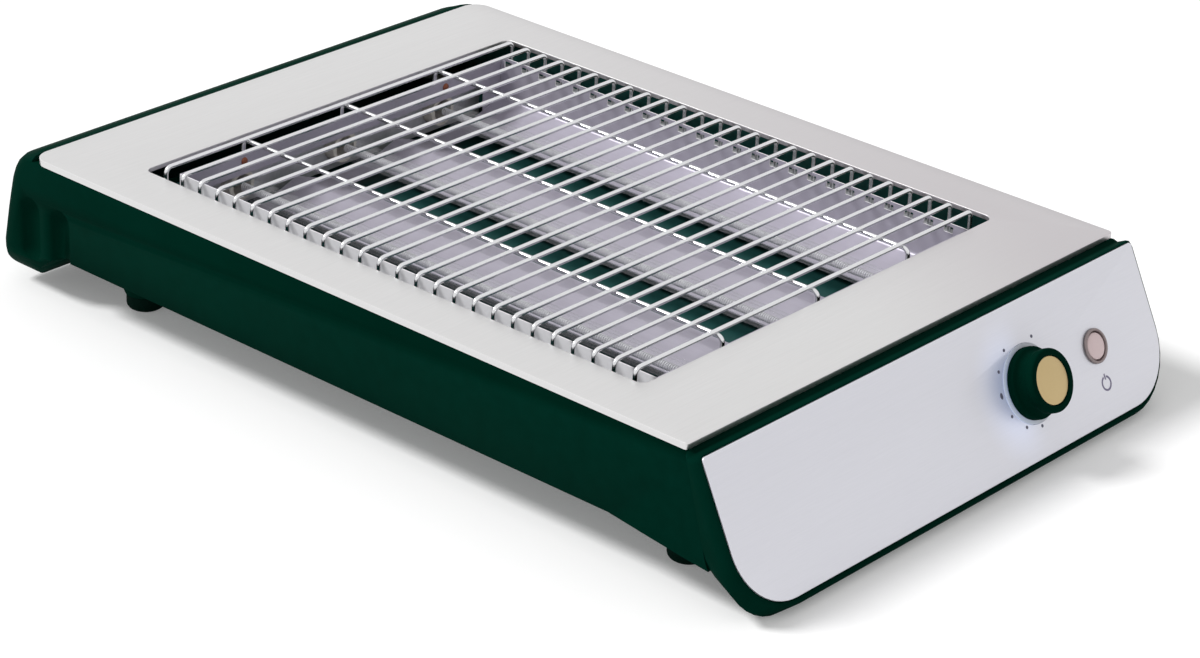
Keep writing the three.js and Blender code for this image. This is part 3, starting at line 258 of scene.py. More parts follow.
# %% Rounded outline
def outline(name, x0, x1, y0, y1, radius_of, segments=8):
    """A flat face in millimetres, with its own radius at each corner."""
    sheet = start(bpy.ops.mesh.primitive_plane_add, size=1,
                  location=((x0 + x1) / 2 * mm, (y0 + y1) / 2 * mm, 0))
    sheet.name = name
    open_edit(freeze(sheet, scale=((x1 - x0) * mm, (y1 - y0) * mm, 1)))
    for x in (x0, x1):
        for y in (y0, y1):
            pick("VERT", lambda v: near(v.co.x, x * mm) and near(v.co.y, y * mm))
            bevel(radius_of(x, y), segments, "VERTICES")
    close_edit()
    return sheet


# %% [markdown]
# ## The steel plate
# The top is one pressing of thin steel with a window for the grill. A Boolean could cut it, but
# leaves one awkward face. Bridging two outlines makes a clean ring of faces.

# %% Plate with its window
window_x, window_y = 107.5, 133.5
back_corner, front_corner, window_corner = 8, 1.5, 4
outer = outline("plate_outer", -half_width / mm, half_width / mm, -half_length / mm,
                half_length / mm, lambda x, y: back_corner if y > 0 else front_corner)
inner = outline("plate_inner", -window_x, window_x, -window_y, window_y,
                lambda x, y: window_corner)
steel_plate = join_pieces("steel_plate", [outer, inner])
open_edit(steel_plate)
bpy.ops.mesh.delete(type="ONLY_FACE")
pick("EDGE")
bpy.ops.mesh.bridge_edge_loops()
print("edges on both outlines:", pick("EDGE", lambda e: e.is_boundary))

# %% [markdown]
# The press folds the sheet down along its outer edge and round the window. Both rims are pushed
# down, and the folds are bevelled to a small bend. Solidify then gives the sheet its thickness
# towards the inside, so the outer size stays.

# %% Folds and thickness
outer_fold, window_fold, fold_bend, plate_sheet = 2.6, 2.0, 0.55, 0.8


def on_window(edge):
    m = middle_of(edge)
    return abs(m.x) < (window_x + 0.5) * mm and abs(m.y) < (window_y + 0.5) * mm


for fold, inside in ((outer_fold, False), (window_fold, True)):
    pick("EDGE", lambda e: e.is_boundary and on_window(e) == inside)
    push(0, 0, -fold)
pick("EDGE", lambda e: len(e.link_faces) == 2 and near(middle_of(e).z, 0)
     and e.calc_face_angle(0) > 1)
bevel(fold_bend, 3)
outward(steel_plate)
if max(steel_plate.data.polygons, key=lambda face: face.area).normal.z < 0:
    open_edit(steel_plate)
    bpy.ops.mesh.flip_normals()
    close_edit()
thicken(steel_plate, plate_sheet)
steel_plate.location = place(0, 0, 0)
settle(steel_plate, 30, "toaster", "plate_steel", "top_plate")

# %% [markdown]
# ## The slope of the control panel
# The front leans back. Each control could be modelled in place, but tools like Spin want plain
# axes. So each is made flat at the origin, and one matrix sets it on the slope: x to the right,
# y up and z out of the face.

# %% Place on the slope
lean = math.radians(26.6)
ledge_depth, panel_drop = 8.0, 2.2
slope = Matrix.Translation(
    place(0, -half_length / mm - ledge_depth, -panel_drop)) @ Matrix.Rotation(
    math.pi / 2 - lean, 4, "X")
knob_spot, button_spot, mark_spot = (48.0, 32.0), (92.3, 31.0), (92.9, 46.6)


def set_on_panel(piece, spot, *settling):
    """Moves a piece to its spot on the panel, x and down in millimetres, and settles it."""
    x, down = spot
    piece.matrix_world = (
        slope @ Matrix.Translation((x * mm, -down * mm, 0)) @ piece.matrix_world)
    settle(piece, *settling)


print("top edge of the panel at", slope.to_translation())

# %% [markdown]
# ## The control panel
# A sheet of satin aluminium with large lower corners. Its outline is pushed to a plate and the
# front edge gets a fine bevel. Two round tools cut the openings, as a punch does.

# %% Control panel
panel_half, panel_height, panel_sheet = 132.8, 61.0, 1.6
upper_corner, lower_corner = 1.6, 25
ring_opening, button_opening = 15.95, 6.65
panel_face = outline("panel_face", -panel_half, panel_half, -panel_height, 0,
                     lambda x, y: upper_corner if y == 0 else lower_corner, 14)
open_edit(panel_face)
push(0, 0, -panel_sheet)
pick("EDGE", lambda e: near(e.verts[0].co.z, 0) and near(e.verts[1].co.z, 0))
bevel(0.35, 3)
outward(panel_face)
for (x, down), radius in ((knob_spot, ring_opening), (button_spot, button_opening)):
    cut_out(panel_face, start(
        bpy.ops.mesh.primitive_cylinder_add, vertices=48, radius=radius * mm, depth=5 * mm,
        location=(x * mm, -down * mm, -0.5 * mm)))
set_on_panel(panel_face, (0, 0), 30, "toaster", "satin_metal", "control_panel")

# %% [markdown]
# ## Turned pieces
# Knob, ring, button, feet and screws are all round. A cylinder could be scaled step by step,
# but a turner thinks in sections: one vertex is extruded along half of the section, its corners
# are bevelled, and Spin carries it round the axis.

# %% Turning helper
def turned(name, profile, rounds=(), steps=64):
    """Spins a section round z. profile: (radius, height) in mm; rounds: (index, radius in mm)."""
    piece = start(bpy.ops.mesh.primitive_plane_add, size=1 * mm, location=(0, 0, 0))
    piece.name = name
    open_edit(piece)
    pick("VERT")
    bpy.ops.mesh.merge(type="CENTER")
    pick("VERT")
    radius, height = profile[0]
    bpy.ops.transform.translate(value=(radius * mm, 0, height * mm))
    for (r0, h0), (r1, h1) in zip(profile, profile[1:]):
        push(r1 - r0, 0, h1 - h0)
    for index, round_radius in rounds:
        r, h = profile[index]
        pick("VERT", lambda v: near(v.co.x, r * mm) and near(v.co.z, h * mm))
        bevel(round_radius, 4, "VERTICES")
    pick("VERT")
    bpy.ops.mesh.spin(steps=steps, angle=2 * math.pi, center=(0, 0, 0), axis=(0, 0, 1))
    return outward(piece)


# %% [markdown]
# ## The timer knob
# The knob has a wide foot, a slightly waisted grip and a rim round a gold disc. The section has
# a point for each change of direction; the hollow between foot and rim catches the light. It
# rides on the timer's body, because it turns.

# %% Timer knob
knob_top = 11.7
knob = turned("knob_body", [
    (0, 9.9), (9.75, 9.9), (9.75, knob_top), (12.6, knob_top), (12.6, 8.6), (12.1, 7.9),
    (11.9, 5.9), (12.3, 4.4), (14.3, 3.4), (14.3, 0.6), (8.0, 0.6), (8.0, 2.6), (3.3, 2.6),
    (3.3, 8.5), (0, 8.5),
], rounds=((2, 0.35), (3, 1.0), (4, 0.5), (7, 0.8), (8, 0.6), (9, 0.4)), steps=96)
set_on_panel(knob, knob_spot, 40, "timer", "green_plastic", "timer_knob")

# %% [markdown]
# The disc in the knob is thin metal from a lathe. It is a piece of its own, because only so it
# can have its own finish and the fine bevel at its rim.

# %% Gold disc
disc = turned("knob_disc", [(0, 9.95), (9.6, 9.95), (9.6, 11.2), (0, 11.25)],
              rounds=((2, 0.35),), steps=96)
set_on_panel(disc, knob_spot, 30, "timer", "gold_disc", "knob_cap")

# %% [markdown]
# Round the knob lies a ring of pale plastic that lets the light behind it through. Its section
# is closed, so Spin makes a ring with a bore and no extra work.

# %% Light ring
glow = turned("glow_ring", [(9.4, -1.6), (15.8, -1.6), (15.8, 0.25), (9.4, 0.25), (9.4, -1.6)],
              rounds=((2, 0.3),), steps=96)
set_on_panel(glow, knob_spot, 30, "toaster", "pale_ring", "light_ring")

# %% [markdown]
# ## The push button
# A thin metal ring stands round a pale cap. The ring belongs to the toaster, and the slightly
# domed cap rides on its own body, because it is pressed.

# %% Button and its ring
ring = turned("button_ring", [
    (5.75, -8), (6.5, -8), (6.5, 0.3), (7.1, 0.3), (7.1, 0.8), (6.7, 1.2), (6.1, 1.2),
    (5.75, 0.7), (5.75, -8),
], rounds=((4, 0.2), (5, 0.15)))
set_on_panel(ring, button_spot, 40, "toaster", "plate_steel", "button_bezel")

cap = turned("button_cap", [
    (0, -8.3), (2, -8.3), (2, -4.3), (5.4, -4.3), (5.4, 0.7), (4.2, 1.0), (2.4, 1.12), (0, 1.15),
], rounds=((4, 0.35),))
set_on_panel(cap, button_spot, 40, "button", "pink_cap", "stop_button")

# %% [markdown]
# ## Marks on the panel
# Seven marks stand round the knob, the one on its left drawn larger. A texture could paint
# them; as thin films of paint they stay sharp from near by. Each is a small disc set at its
# radius, turned to its angle and pushed out a little.

# %% Dial marks
mark_angles = (60, 120, 150, 180, 210, 240, 270)
mark_radius, mark_ring, mark_lift = 0.68, 18.0, 0.8


def flat_disc(vertices, radius, **settings):
    return start(bpy.ops.mesh.primitive_circle_add, vertices=vertices, radius=radius * mm,
                 fill_type="NGON", **settings)


def film(piece, height=0.06):
    """Pushes a flat face out of the panel to a thin film of paint."""
    open_edit(piece)
    push(0, 0, height)
    return outward(piece)


dots = []
for angle in mark_angles:
    dot = flat_disc(20, mark_radius, location=(mark_ring * mm, 0, 0))
    freeze(dot, scale=(1.15, 1.9, 1.0) if angle == 180 else (1.0, 1.0, 1.0))
    dots.append(film(freeze(dot, rotation_euler=(0, 0, math.radians(angle)))))
set_on_panel(join_pieces("dial_marks", dots), (knob_spot[0], knob_spot[1] - mark_lift),
             None, "toaster", None)

# %% [markdown]
# Under the button stands the plain power mark: an open ring with a stroke in the gap. A disc is
# inset, its middle and the faces at the gap are taken out, and a narrow plane is the stroke.

# %% Power mark
mark_outer, mark_line, mark_gap = 3.1, 0.8, 0.75
stroke_middle, stroke_wide, stroke_long = 2.7, 0.7, 2.4
ring_mark = flat_disc(40, mark_outer, location=(0, 0, 0))
open_edit(ring_mark)
pick("FACE")
bpy.ops.mesh.inset(thickness=mark_line * mm)
bpy.ops.mesh.delete(type="FACE")
pick("FACE", lambda f: middle_of(f).y > 0 and abs(middle_of(f).x) < mark_gap * mm)
bpy.ops.mesh.delete(type="FACE")
film(ring_mark)
stroke = start(bpy.ops.mesh.primitive_plane_add, size=1, location=(0, stroke_middle * mm, 0))
film(freeze(stroke, scale=(stroke_wide * mm, stroke_long * mm, 1)))
set_on_panel(join_pieces("power_mark", [ring_mark, stroke]), mark_spot, None, "toaster", None)

# %% [markdown]
# ## The grill
# Twenty-six wires cross the window, each bent down at both ends into a hole of the rail. A
# curve with a round bevel would do, but this way gives exact bends and flat ends: a circle is
# extruded up the leg, spun through the bend, extruded across, and so on down.

# %% One bent wire
def bent_wire(name, half, top, foot, bend=2.6, radius=0.95, sides=14):
    """A staple of wire in the plane y = 0, all in millimetres from the plate's top."""
    wire = flat_disc(sides, radius, location=(-half * mm, 0, (foot - 0.001) * mm))
    wire.name = name
    open_edit(freeze(wire))
    pick("FACE")
    push(0, 0, top - bend - foot)
    for side, run in ((-1, (2 * (half - bend), 0, 0)), (1, (0, 0, -(top - bend - foot)))):
        bpy.ops.mesh.spin(steps=7, angle=-math.pi / 2, axis=(0, 1, 0),
                          center=(side * (half - bend) * mm, 0, (top - bend) * mm))
        push(*run)
    return outward(wire)


# %% [markdown]
# An Array modifier could repeat the first wire. Copies by Duplicate can also be joined with the
# long wires into one welded rack.

# %% Cross wires
wire_middle, wire_pitch, wire_count = 1.7, 10.06, 26
wire_half, wire_foot = 102.8, -14.2
wires = [bent_wire("cross_wire", wire_half, wire_middle, wire_foot)]
for _ in range(1, wire_count):
    only(wires[0])
    bpy.ops.object.duplicate(linked=False)
    wires.append(bpy.context.object)
for i, wire in enumerate(wires):
    freeze(wire, location=place(0, (i - (wire_count - 1) / 2) * wire_pitch, 0))
print("cross wires:", len(wires))

# %% [markdown]
# Three long wires lie below the cross wires, close enough to be welded to them. They are the
# same staple, turned a quarter.

# %% Long wires and the whole rack
long_half, long_drop, long_foot = 129, 1.45, -10.4
for x in (-57, 0, 57):
    long_wire = bent_wire("long_wire", long_half, wire_middle - long_drop, long_foot)
    wires.append(freeze(long_wire, rotation_euler=(0, 0, math.pi / 2), location=place(x, 0, 0)))
settle(join_pieces("grill_wires", wires), 50, "toaster", "wire_chrome", "grill_rack")

# %% [markdown]
# ## The reflector
# Under the grill lies one folded sheet that throws the heat up: two walls, and a floor that
# dips under each tube with a ridge between. A bench folds a flat sheet along lines; here an
# edge is extruded along that section, and the bends are bevelled.

# %% Reflector's section
reflect_x, reflect_y, front_reach = 95.5, 125.3, 4.6
rim, floor_z, ridge_z, wall_foot = -2.85, -29.4, -23.4, -22.0
section = [
    (-reflect_x, rim), (-reflect_x, wall_foot), (-73, floor_z), (-47, floor_z), (-30, ridge_z),
    (-13, floor_z), (13, floor_z), (30, ridge_z), (47, floor_z), (73, floor_z),
    (reflect_x, wall_foot), (reflect_x, rim),
]
reflector = start(bpy.ops.mesh.primitive_plane_add, size=1,
                  location=(-reflect_x * mm, -front_reach / 2 * mm, rim * mm))
open_edit(freeze(reflector, scale=(1, (2 * reflect_y + front_reach) * mm, 1)))
bpy.ops.transform.resize(value=(0, 1, 1), center_override=(-reflect_x * mm, 0, 0))
bpy.ops.mesh.remove_doubles(threshold=0.01 * mm)
pick("EDGE")
for (x0, z0), (x1, z1) in zip(section, section[1:]):
    push(x1 - x0, 0, z1 - z0)

print("bends:", pick("EDGE", lambda e: len(e.link_faces) == 2
                     and not near(e.verts[0].co.y, e.verts[1].co.y)))
bevel(1.6, 3)

# %% [markdown]
# ## Slots in the reflector
# The sheet is still open in edit mode. Slots could be Boolean cuts, but in a thin sheet it is
# cleaner to bisect the faces along the slots' sides and to delete what lies between. The right
# wall has a row of small slots below its rim.

# %% Slots in the right wall
slot_heights, slot_half = (-7.0, -4.2), 2.3
slot_places = [(i + 0.5 - (wire_count - 1) / 2) * wire_pitch for i in range(wire_count - 1)]


def slice_at(axis, value, test=lambda face: True):
    """Bisects the picked faces with a plane across one axis, value in millimetres."""
    pick("FACE", test)
    across = [int(axis == name) for name in "xyz"]
    bpy.ops.mesh.bisect(plane_co=[part * value * mm for part in across], plane_no=across)


def is_right_wall(face):
    return abs(face.normal.x) > 0.95 and middle_of(face).x > 0


def in_rim_slot(face):
    m = middle_of(face)
    if not is_right_wall(face) or not slot_heights[0] * mm < m.z < slot_heights[1] * mm:
        return False
    return any(abs(m.y - y * mm) < slot_half * mm for y in slot_places)


for z in slot_heights:
    slice_at("z", z, is_right_wall)
for y in slot_places:
    for edge_y in (y - slot_half, y + slot_half):
        slice_at("y", edge_y, is_right_wall)
print("small slots:", pick("FACE", in_rim_slot))
bpy.ops.mesh.delete(type="FACE")

# %% [markdown]
# Under each tube the floor has one long slot, through which crumbs fall to the tray. It is cut
# the same way.

# %% Slots in the floor
tube_places, crumb_half, crumb_end = (-60, 0, 60), 11.3, 115.3


def is_floor(face):
    return middle_of(face).z < (floor_z + 0.6) * mm and abs(face.normal.z) > 0.99


def in_crumb_slot(face):
    m = middle_of(face)
    near_tube = min(abs(m.x - t * mm) for t in tube_places)
    return is_floor(face) and near_tube < 11 * mm and abs(m.y) < 115 * mm


for tube_x in tube_places:
    for x in (tube_x - crumb_half, tube_x + crumb_half):
        slice_at("x", x, lambda f: is_floor(f) and abs(middle_of(f).x - tube_x * mm) < 12.5 * mm)
for y in (-crumb_end, crumb_end):
    slice_at("y", y, is_floor)
print("long slots:", pick("FACE", in_crumb_slot))
bpy.ops.mesh.delete(type="FACE")
close_edit()

# %% [markdown]
# The ends are two more sheets, the front one low. Each has a wide notch from below, which lets
# the tubes' ends through. Only now does Solidify give the three sheets their wall, because a
# flat sheet is easier to cut.

# %% Reflector's ends
end_side, notch_top, front_top = 84.5, -13.5, -6.4
sheets = [reflector]
for side, top in ((-1, front_top), (1, rim - 0.3)):
    end = start(bpy.ops.mesh.primitive_plane_add, size=1, rotation=(math.pi / 2, 0, 0),
                location=(0, side * (reflect_y + 0.3) * mm, (top + floor_z) / 2 * mm))
    open_edit(freeze(end, scale=((2 * reflect_x - 0.4) * mm, (top - floor_z) * mm, 1)))
    slice_at("z", notch_top)
    for x in (-end_side, end_side):
        slice_at("x", x)
    pick("FACE", lambda f: middle_of(f).z < (notch_top - 0.5) * mm
         and abs(middle_of(f).x) < (end_side - 4.5) * mm)
    bpy.ops.mesh.delete(type="FACE")
    sheets.append(end)
for sheet in sheets:
    thicken(sheet, 0.5, 0.0)
reflector = join_pieces("reflector_sheet", sheets)
reflector.location = place(0, 0, 0)
settle(outward(reflector), 35, "toaster", "polished_sheet", "reflector")

# %% [markdown]
# Two small rivets hold the back end. A half sphere would be too high: a pressed head is low and
# a little flat on top, so it is turned.

# %% Rivets in the reflector's back wall
rivet_up = -7.6
quarter = (math.pi / 2, 0, 0)
rivets = []
for x in (-60, 60):
    rivet = turned("rivet", [(0, 0), (1.7, 0), (1.5, 0.5), (0.8, 0.85), (0, 0.95)], steps=20)
    rivets.append(freeze(rivet, rotation_euler=quarter,
                         location=place(x, reflect_y - 0.05, rivet_up)))
settle(join_pieces("end_rivets", rivets), 40, "toaster", None)

# %% [markdown]
# ## The heating tubes
# Each heater is a tube of clear quartz with a coil of resistance wire inside. The tube is
# turned with its wall, because light bends on the inner face too.

# %% One quartz tube
tube_z, tube_half = -19.1, 134


def quartz_tube(name, x):
    tube = turned("quartz_tube_" + name, [
        (3.5, -tube_half), (4.8, -tube_half), (4.8, tube_half), (3.5, tube_half),
        (3.5, -tube_half),
    ], rounds=((1, 0.3), (2, 0.3)), steps=32)
    freeze(tube, rotation_euler=quarter, location=place(x, 0, tube_z))
    settle(tube, 35, "toaster", "quartz", "heating_tube_" + name)


# %% [markdown]
# The coil has about one turn to a millimetre. The Screw modifier carries a small circle round
# and along, 240 times, and its two ends are closed after.

# %% One coil, and all three heaters
coil_turns, coil_pitch, coil_radius, coil_wire = 240, 1.05, 1.5, 0.3


def heating_wire(name, x):
    coil = start(bpy.ops.mesh.primitive_circle_add, vertices=6, radius=coil_wire * mm,
                 fill_type="NOTHING", location=(coil_radius * mm, 0, 0), rotation=quarter)
    coil.name = "heating_wire_" + name
    freeze(coil)
    screw = coil.modifiers.new("coil", "SCREW")
    screw.axis = "Z"
    screw.screw_offset = coil_pitch * mm
    screw.iterations = coil_turns
    screw.steps = screw.render_steps = 10
    screw.use_merge_vertices = False
    apply_all(coil)
    open_edit(coil)
    pick("EDGE", lambda e: e.is_boundary)
    bpy.ops.mesh.edge_face_add()
    freeze(outward(coil), rotation_euler=(-math.pi / 2, 0, 0),
           location=place(x, -coil_turns * coil_pitch / 2, tube_z))
    settle(coil, 60, "toaster", "coil_wire", "heating_coil_" + name)


for name, x in zip(("left", "centre", "right"), tube_places):
    quartz_tube(name, x)
    heating_wire(name, x)

# %% [markdown]
# ## The crumb tray
# A shallow pan of thin sheet slides out at the back. A box is opened at the top, its edges are
# bent round, and the wall is grown inwards, so the pan keeps its size.

# %% Crumb tray
tray_low, tray_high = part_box("crumb_tray")
pan = start(bpy.ops.mesh.primitive_cube_add, size=1, location=(tray_low + tray_high) / 2)
pan.name = "crumb_pan"
open_edit(freeze(pan, scale=tray_high - tray_low))
pick("FACE", lambda f: f.normal.z > 0.9)
bpy.ops.mesh.delete(type="FACE")
pick("EDGE", lambda e: len(e.link_faces) == 2)
bevel(1.6, 4)
thicken(pan, 0.7)
settle(pan, 35, "tray", "tray_enamel", "crumb_tray")

# %% [markdown]
# ## Feet
# Four rubber feet carry the toaster. Each is turned, wide and well rounded below, with a stem
# that a maker would push into the base.

# %% Feet
foot_profile = [(0, 0), (8, 0), (8, 6.7), (3, 6.7), (3, 12.7), (0, 12.7)]
for corner in ("front_left", "front_right", "back_left", "back_right"):
    low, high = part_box("foot_" + corner)
    foot = turned("rubber_foot_" + corner, foot_profile, rounds=((1, 2.6), (2, 0.5)), steps=40)
    foot.location = ((low.x + high.x) / 2, (low.y + high.y) / 2, 0)
    settle(foot, 40, "toaster", "foot_rubber", "foot_" + corner)

# %% [markdown]
# ## Screws
# Six screws hold the base and the front. The head is turned, and two crossed bars are taken out
# of it for the screwdriver, which a Boolean does best, since the cross meets a curved head.

# %% Screws
cross_wide, cross_narrow, cross_deep = 1.9, 0.5, 1.4
for screw_name in sorted(n for n in frame["nodes"] if n.startswith(("base_screw", "cap_screw"))):
    low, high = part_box(screw_name)
    under = ((low.x + high.x) / 2, (low.y + high.y) / 2, low.z)
    length = (high.z - low.z) / mm
    pin = turned(screw_name.replace("screw", "pin"), [
        (0, 0), (1.5, 0), (3, 0.9), (3, 1.5), (1.5, 1.5), (1.5, length), (0, length),
    ], rounds=((2, 0.25),), steps=24)
    freeze(pin, location=under)
    for wide, deep in ((cross_wide, cross_narrow), (cross_narrow, cross_wide)):
        bar = start(bpy.ops.mesh.primitive_cube_add, size=1, location=under)
        bar.scale = (wide * mm, deep * mm, cross_deep * mm)
        cut_out(pin, bar)
    settle(pin, 30, "toaster", "zinc_steel", screw_name)

# %% [markdown]
# ## The casings
# Housing, front cap and base have the right form in CAD, but their loose triangles can't be
# shaded smooth. So each is copied and its doubles are merged; soft corners are then shaded
# smooth while sharp edges stay.

# %% Welded copies of the casings
def welded_copy(node, name):
    mesh = frame["nodes"][node].data.copy()
    mesh.materials.clear()
    copy = bpy.data.objects.new(name, mesh)
    bpy.context.scene.collection.objects.link(copy)
    open_edit(copy)
    bpy.ops.mesh.remove_doubles(threshold=0.001 * mm)
    close_edit()
    return copy


for node, name in (("housing", "green_body"), ("front_cap", "green_front"),
                   ("base_cover", "green_base")):
    settle(welded_copy(node, name), 32, "toaster", "green_plastic", node)

# %% [markdown]
# The tray's handle is held in the hand, so its edges are rounded. Bevel needs whole faces:
# Limited Dissolve first joins the triangles that lie in one plane.

# %% Tray handle
handle = welded_copy("tray_handle", "green_handle")
open_edit(handle)
bpy.ops.mesh.dissolve_limited(angle_limit=math.radians(1))
close_edit()
edge = handle.modifiers.new("round", "BEVEL")
edge.width = 0.6 * mm
edge.segments = 3
edge.limit_method = "ANGLE"
edge.angle_limit = math.radians(30)
apply_all(handle)
settle(handle, 32, "tray", "green_plastic", "tray_handle")

# %% [markdown]
# ## The gland and the leads inside
# A gland guards the cord's hole at the back. Inside, two leads in glass sleeve run to the
# terminal block and the timer. The CAD leads have few sides; one level of Subdivision Surface
# makes them round without a new route.

# %% Gland and leads
settle(welded_copy("cord_gland", "gland_ring"), 40, "toaster", "black_plastic", "cord_gland")
for node, name in (("supply_lead", "supply_sleeve"), ("timer_lead", "timer_sleeve")):
    sleeve = welded_copy(node, name)
    round_more = sleeve.modifiers.new("round_more", "SUBSURF")
    round_more.levels = 1
    apply_all(sleeve)
    settle(sleeve, 60, "toaster", "sleeve", node)

# %% [markdown]
# ## Nodes by name
# Light, floor and finishes are built from nodes. On screen one drags wires; here a few helpers
# feed a socket with a number, a colour or another socket.

# %% Node helpers
def new_node(beside, kind):
    """A node in the tree that the given socket belongs to."""
    return beside.id_data.nodes.new("ShaderNode" + kind)


def feed(socket, value):
    """Links a socket to another, or gives it a number, vector or colour of its own."""
    if isinstance(value, bpy.types.NodeSocket):
        socket.id_data.links.new(value, socket)
    else:
        socket.default_value = value


def maths(operation, *values, clamp=False):
    sockets = [value for value in values if isinstance(value, bpy.types.NodeSocket)]
    node = new_node(sockets[0], "Math")
    node.operation = operation
    node.use_clamp = clamp
    for socket, value in zip(node.inputs, values):
        feed(socket, value)
    return node.outputs[0]


def by_ray(falling, seen):
    """One shader for the light that falls; one for what is seen, in gloss and glass too."""
    rays = new_node(falling, "LightPath").outputs
    direct = maths("MAXIMUM", rays["Is Camera Ray"], rays["Is Glossy Ray"])
    mix = new_node(falling, "MixShader")
    for socket, value in zip(mix.inputs, (
            maths("MAXIMUM", direct, rays["Is Transmission Ray"]), falling, seen)):
        feed(socket, value)
    return mix.outputs[0]


# %% [markdown]
# ## Light and ground
# Soft daylight comes from all round. Many lamps would do it; the world does it with less noise.
# It lights the toaster weaker than it is seen, so the background is white and pale surfaces
# keep their colour.

# %% World
falling_strength, seen_strength = 0.52, 1.0
world = bpy.data.worlds.new("studio")
bpy.context.scene.world = world
world.use_nodes = True
sky = world.node_tree.nodes
sky.clear()
skies = []
for strength in (falling_strength, seen_strength):
    background = sky.new("ShaderNodeBackground")
    feed(background.inputs["Color"], (1, 1, 1, 1))
    feed(background.inputs["Strength"], strength)
    skies.append(background.outputs[0])
feed(sky.new("ShaderNodeOutputWorld").inputs["Surface"], by_ray(*skies))
bpy.context.scene.view_settings.view_transform = "Standard"
print("world nodes:", len(sky))

# %% [markdown]
# One broad lamp from the back left gives the toaster its direction. A Sun's angle sets how soft
# the edge of the shadow is.

# %% Broad lamp
sun_data = bpy.data.lights.new("broad_lamp", "SUN")
sun_data.energy = 2.45
sun_data.angle = math.radians(16)
sun = bpy.data.objects.new("broad_lamp", sun_data)
bpy.context.scene.collection.objects.link(sun)
sun.rotation_euler = Vector((-0.6, 0.75, 1.0)).to_track_quat("Z", "Y").to_euler()
print("lamp strength", sun_data.energy)

# %% [markdown]
# The floor is pale and keeps the shadow. To reach white without more light on the toaster, what
# is seen of it is lifted by a little light of its own, which doesn't fall on anything.

# %% Floor
ground_pale, ground_lift = 0.88, 0.18
ground = start(bpy.ops.mesh.primitive_plane_add, size=12)
ground.name = "ground"
ground_finish = bpy.data.materials.new("pale_ground")
ground_finish.use_nodes = True
nodes = ground_finish.node_tree.nodes
nodes.clear()
paint = nodes.new("ShaderNodeBsdfDiffuse")
feed(paint.inputs["Color"], (ground_pale, ground_pale, ground_pale, 1))
lift = nodes.new("ShaderNodeEmission")
feed(lift.inputs["Strength"], ground_lift)
both = nodes.new("ShaderNodeAddShader")
feed(both.inputs[0], paint.outputs[0])
feed(both.inputs[1], lift.outputs[0])
feed(nodes.new("ShaderNodeOutputMaterial").inputs["Surface"],
     by_ray(paint.outputs[0], both.outputs[0]))
ground.data.materials.append(ground_finish)
print("floor nodes:", len(nodes))

# %% [markdown]
# ## Shared effects
# Effects that many finishes share are node groups with named inputs, so a finish only gives its
# own numbers. All patterns read Object coordinates, which stay on the piece when it moves.

# %% Group helpers
def new_group(name, outputs, **inputs):
    """A node group with these mask outputs, and inputs given as name=start value."""
    group = bpy.data.node_groups.new(name, "ShaderNodeTree")
    for label, value in inputs.items():
        kind = "NodeSocketVector" if isinstance(value, tuple) else "NodeSocketFloat"
        socket = group.interface.new_socket(name=label, in_out="INPUT", socket_type=kind)
        socket.default_value = value
    for label in outputs:
        group.interface.new_socket(name=label, in_out="OUTPUT", socket_type="NodeSocketFloat")
    print("group", name, "in", list(inputs), "out", outputs)
    nodes = group.nodes
    return group, nodes.new("NodeGroupInput").outputs, nodes.new("NodeGroupOutput").inputs


def object_place(beside):
    return new_node(beside, "TexCoord").outputs["Object"]


def axes(vector):
    node = new_node(vector, "SeparateXYZ")
    feed(node.inputs[0], vector)
    return node.outputs


def noise_at(vector, scale, detail, rough=0.55):
    node = new_node(vector, "TexNoise")
    for label, value in (("Vector", vector), ("Scale", scale), ("Detail", detail),
                         ("Roughness", rough)):
        feed(node.inputs[label], value)
    return node.outputs["Fac"]


def spread(value, span, low=0.0, high=1.0, soft=False):
    """Carries a span of values over to low and high, with soft ends or without."""
    node = new_node(value, "MapRange")
    if soft:
        node.interpolation_type = "SMOOTHSTEP"
    for label, number in (("Value", value), ("From Min", span[0]), ("From Max", span[1]),
                          ("To Min", low), ("To Max", high)):
        feed(node.inputs[label], number)
    return node.outputs["Result"]


# %% [markdown]
# A moulded face is never quite even. A fine noise is its grain, for the relief, and a broad one
# gives patches in which the colour drifts.

# %% Fine grain
grain_group, entry, leave = new_group("Fine grain", ("Height", "Patch"),
                                      Scale=900.0, Patches=25.0)
where = object_place(entry)
feed(leave["Height"], noise_at(where, entry["Scale"], 4))
feed(leave["Patch"], noise_at(where, entry["Patches"], 2))

# %% [markdown]
# Brushed sheet has fine lines along the stroke. A noise squeezed along one axis draws them; an
# anisotropic shader would bend the gloss as well, but shows no lines near by.

# %% Drawn lines
drawn_group, entry, leave = new_group("Drawn lines", ("Line",),
                                      Stretch=(1.0, 1.0, 1.0), Scale=400.0)
stretch = new_node(entry, "VectorMath")
stretch.operation = "MULTIPLY"
feed(stretch.inputs[0], object_place(entry))
feed(stretch.inputs[1], entry["Stretch"])
feed(leave["Line"], noise_at(stretch.outputs[0], entry["Scale"], 5, 0.7))

# %% [markdown]
# Hands wear the edges first. Pointiness is high where a face bends sharply out, and a noise
# breaks the mask up, so the wear doesn't look drawn with a ruler.

# %% Edge wear
wear_group, entry, leave = new_group("Edge wear", ("Mask",), Amount=0.5, Breakup=120.0)
bent = new_node(entry, "NewGeometry").outputs["Pointiness"]
spots = noise_at(object_place(entry), entry["Breakup"], 4)
broken = maths("MULTIPLY", spread(bent, (0.52, 0.62)), spots)
feed(leave["Mask"], maths("MULTIPLY", broken, entry["Amount"], clamp=True))

# %% [markdown]
# Touching leaves patches of another gloss. One slow noise is enough, for the roughness alone.

# %% Touch
touch_group, entry, leave = new_group("Touch", ("Smudge",), Size=14.0)
feed(leave["Smudge"], noise_at(object_place(entry), entry["Size"], 3, 0.6))

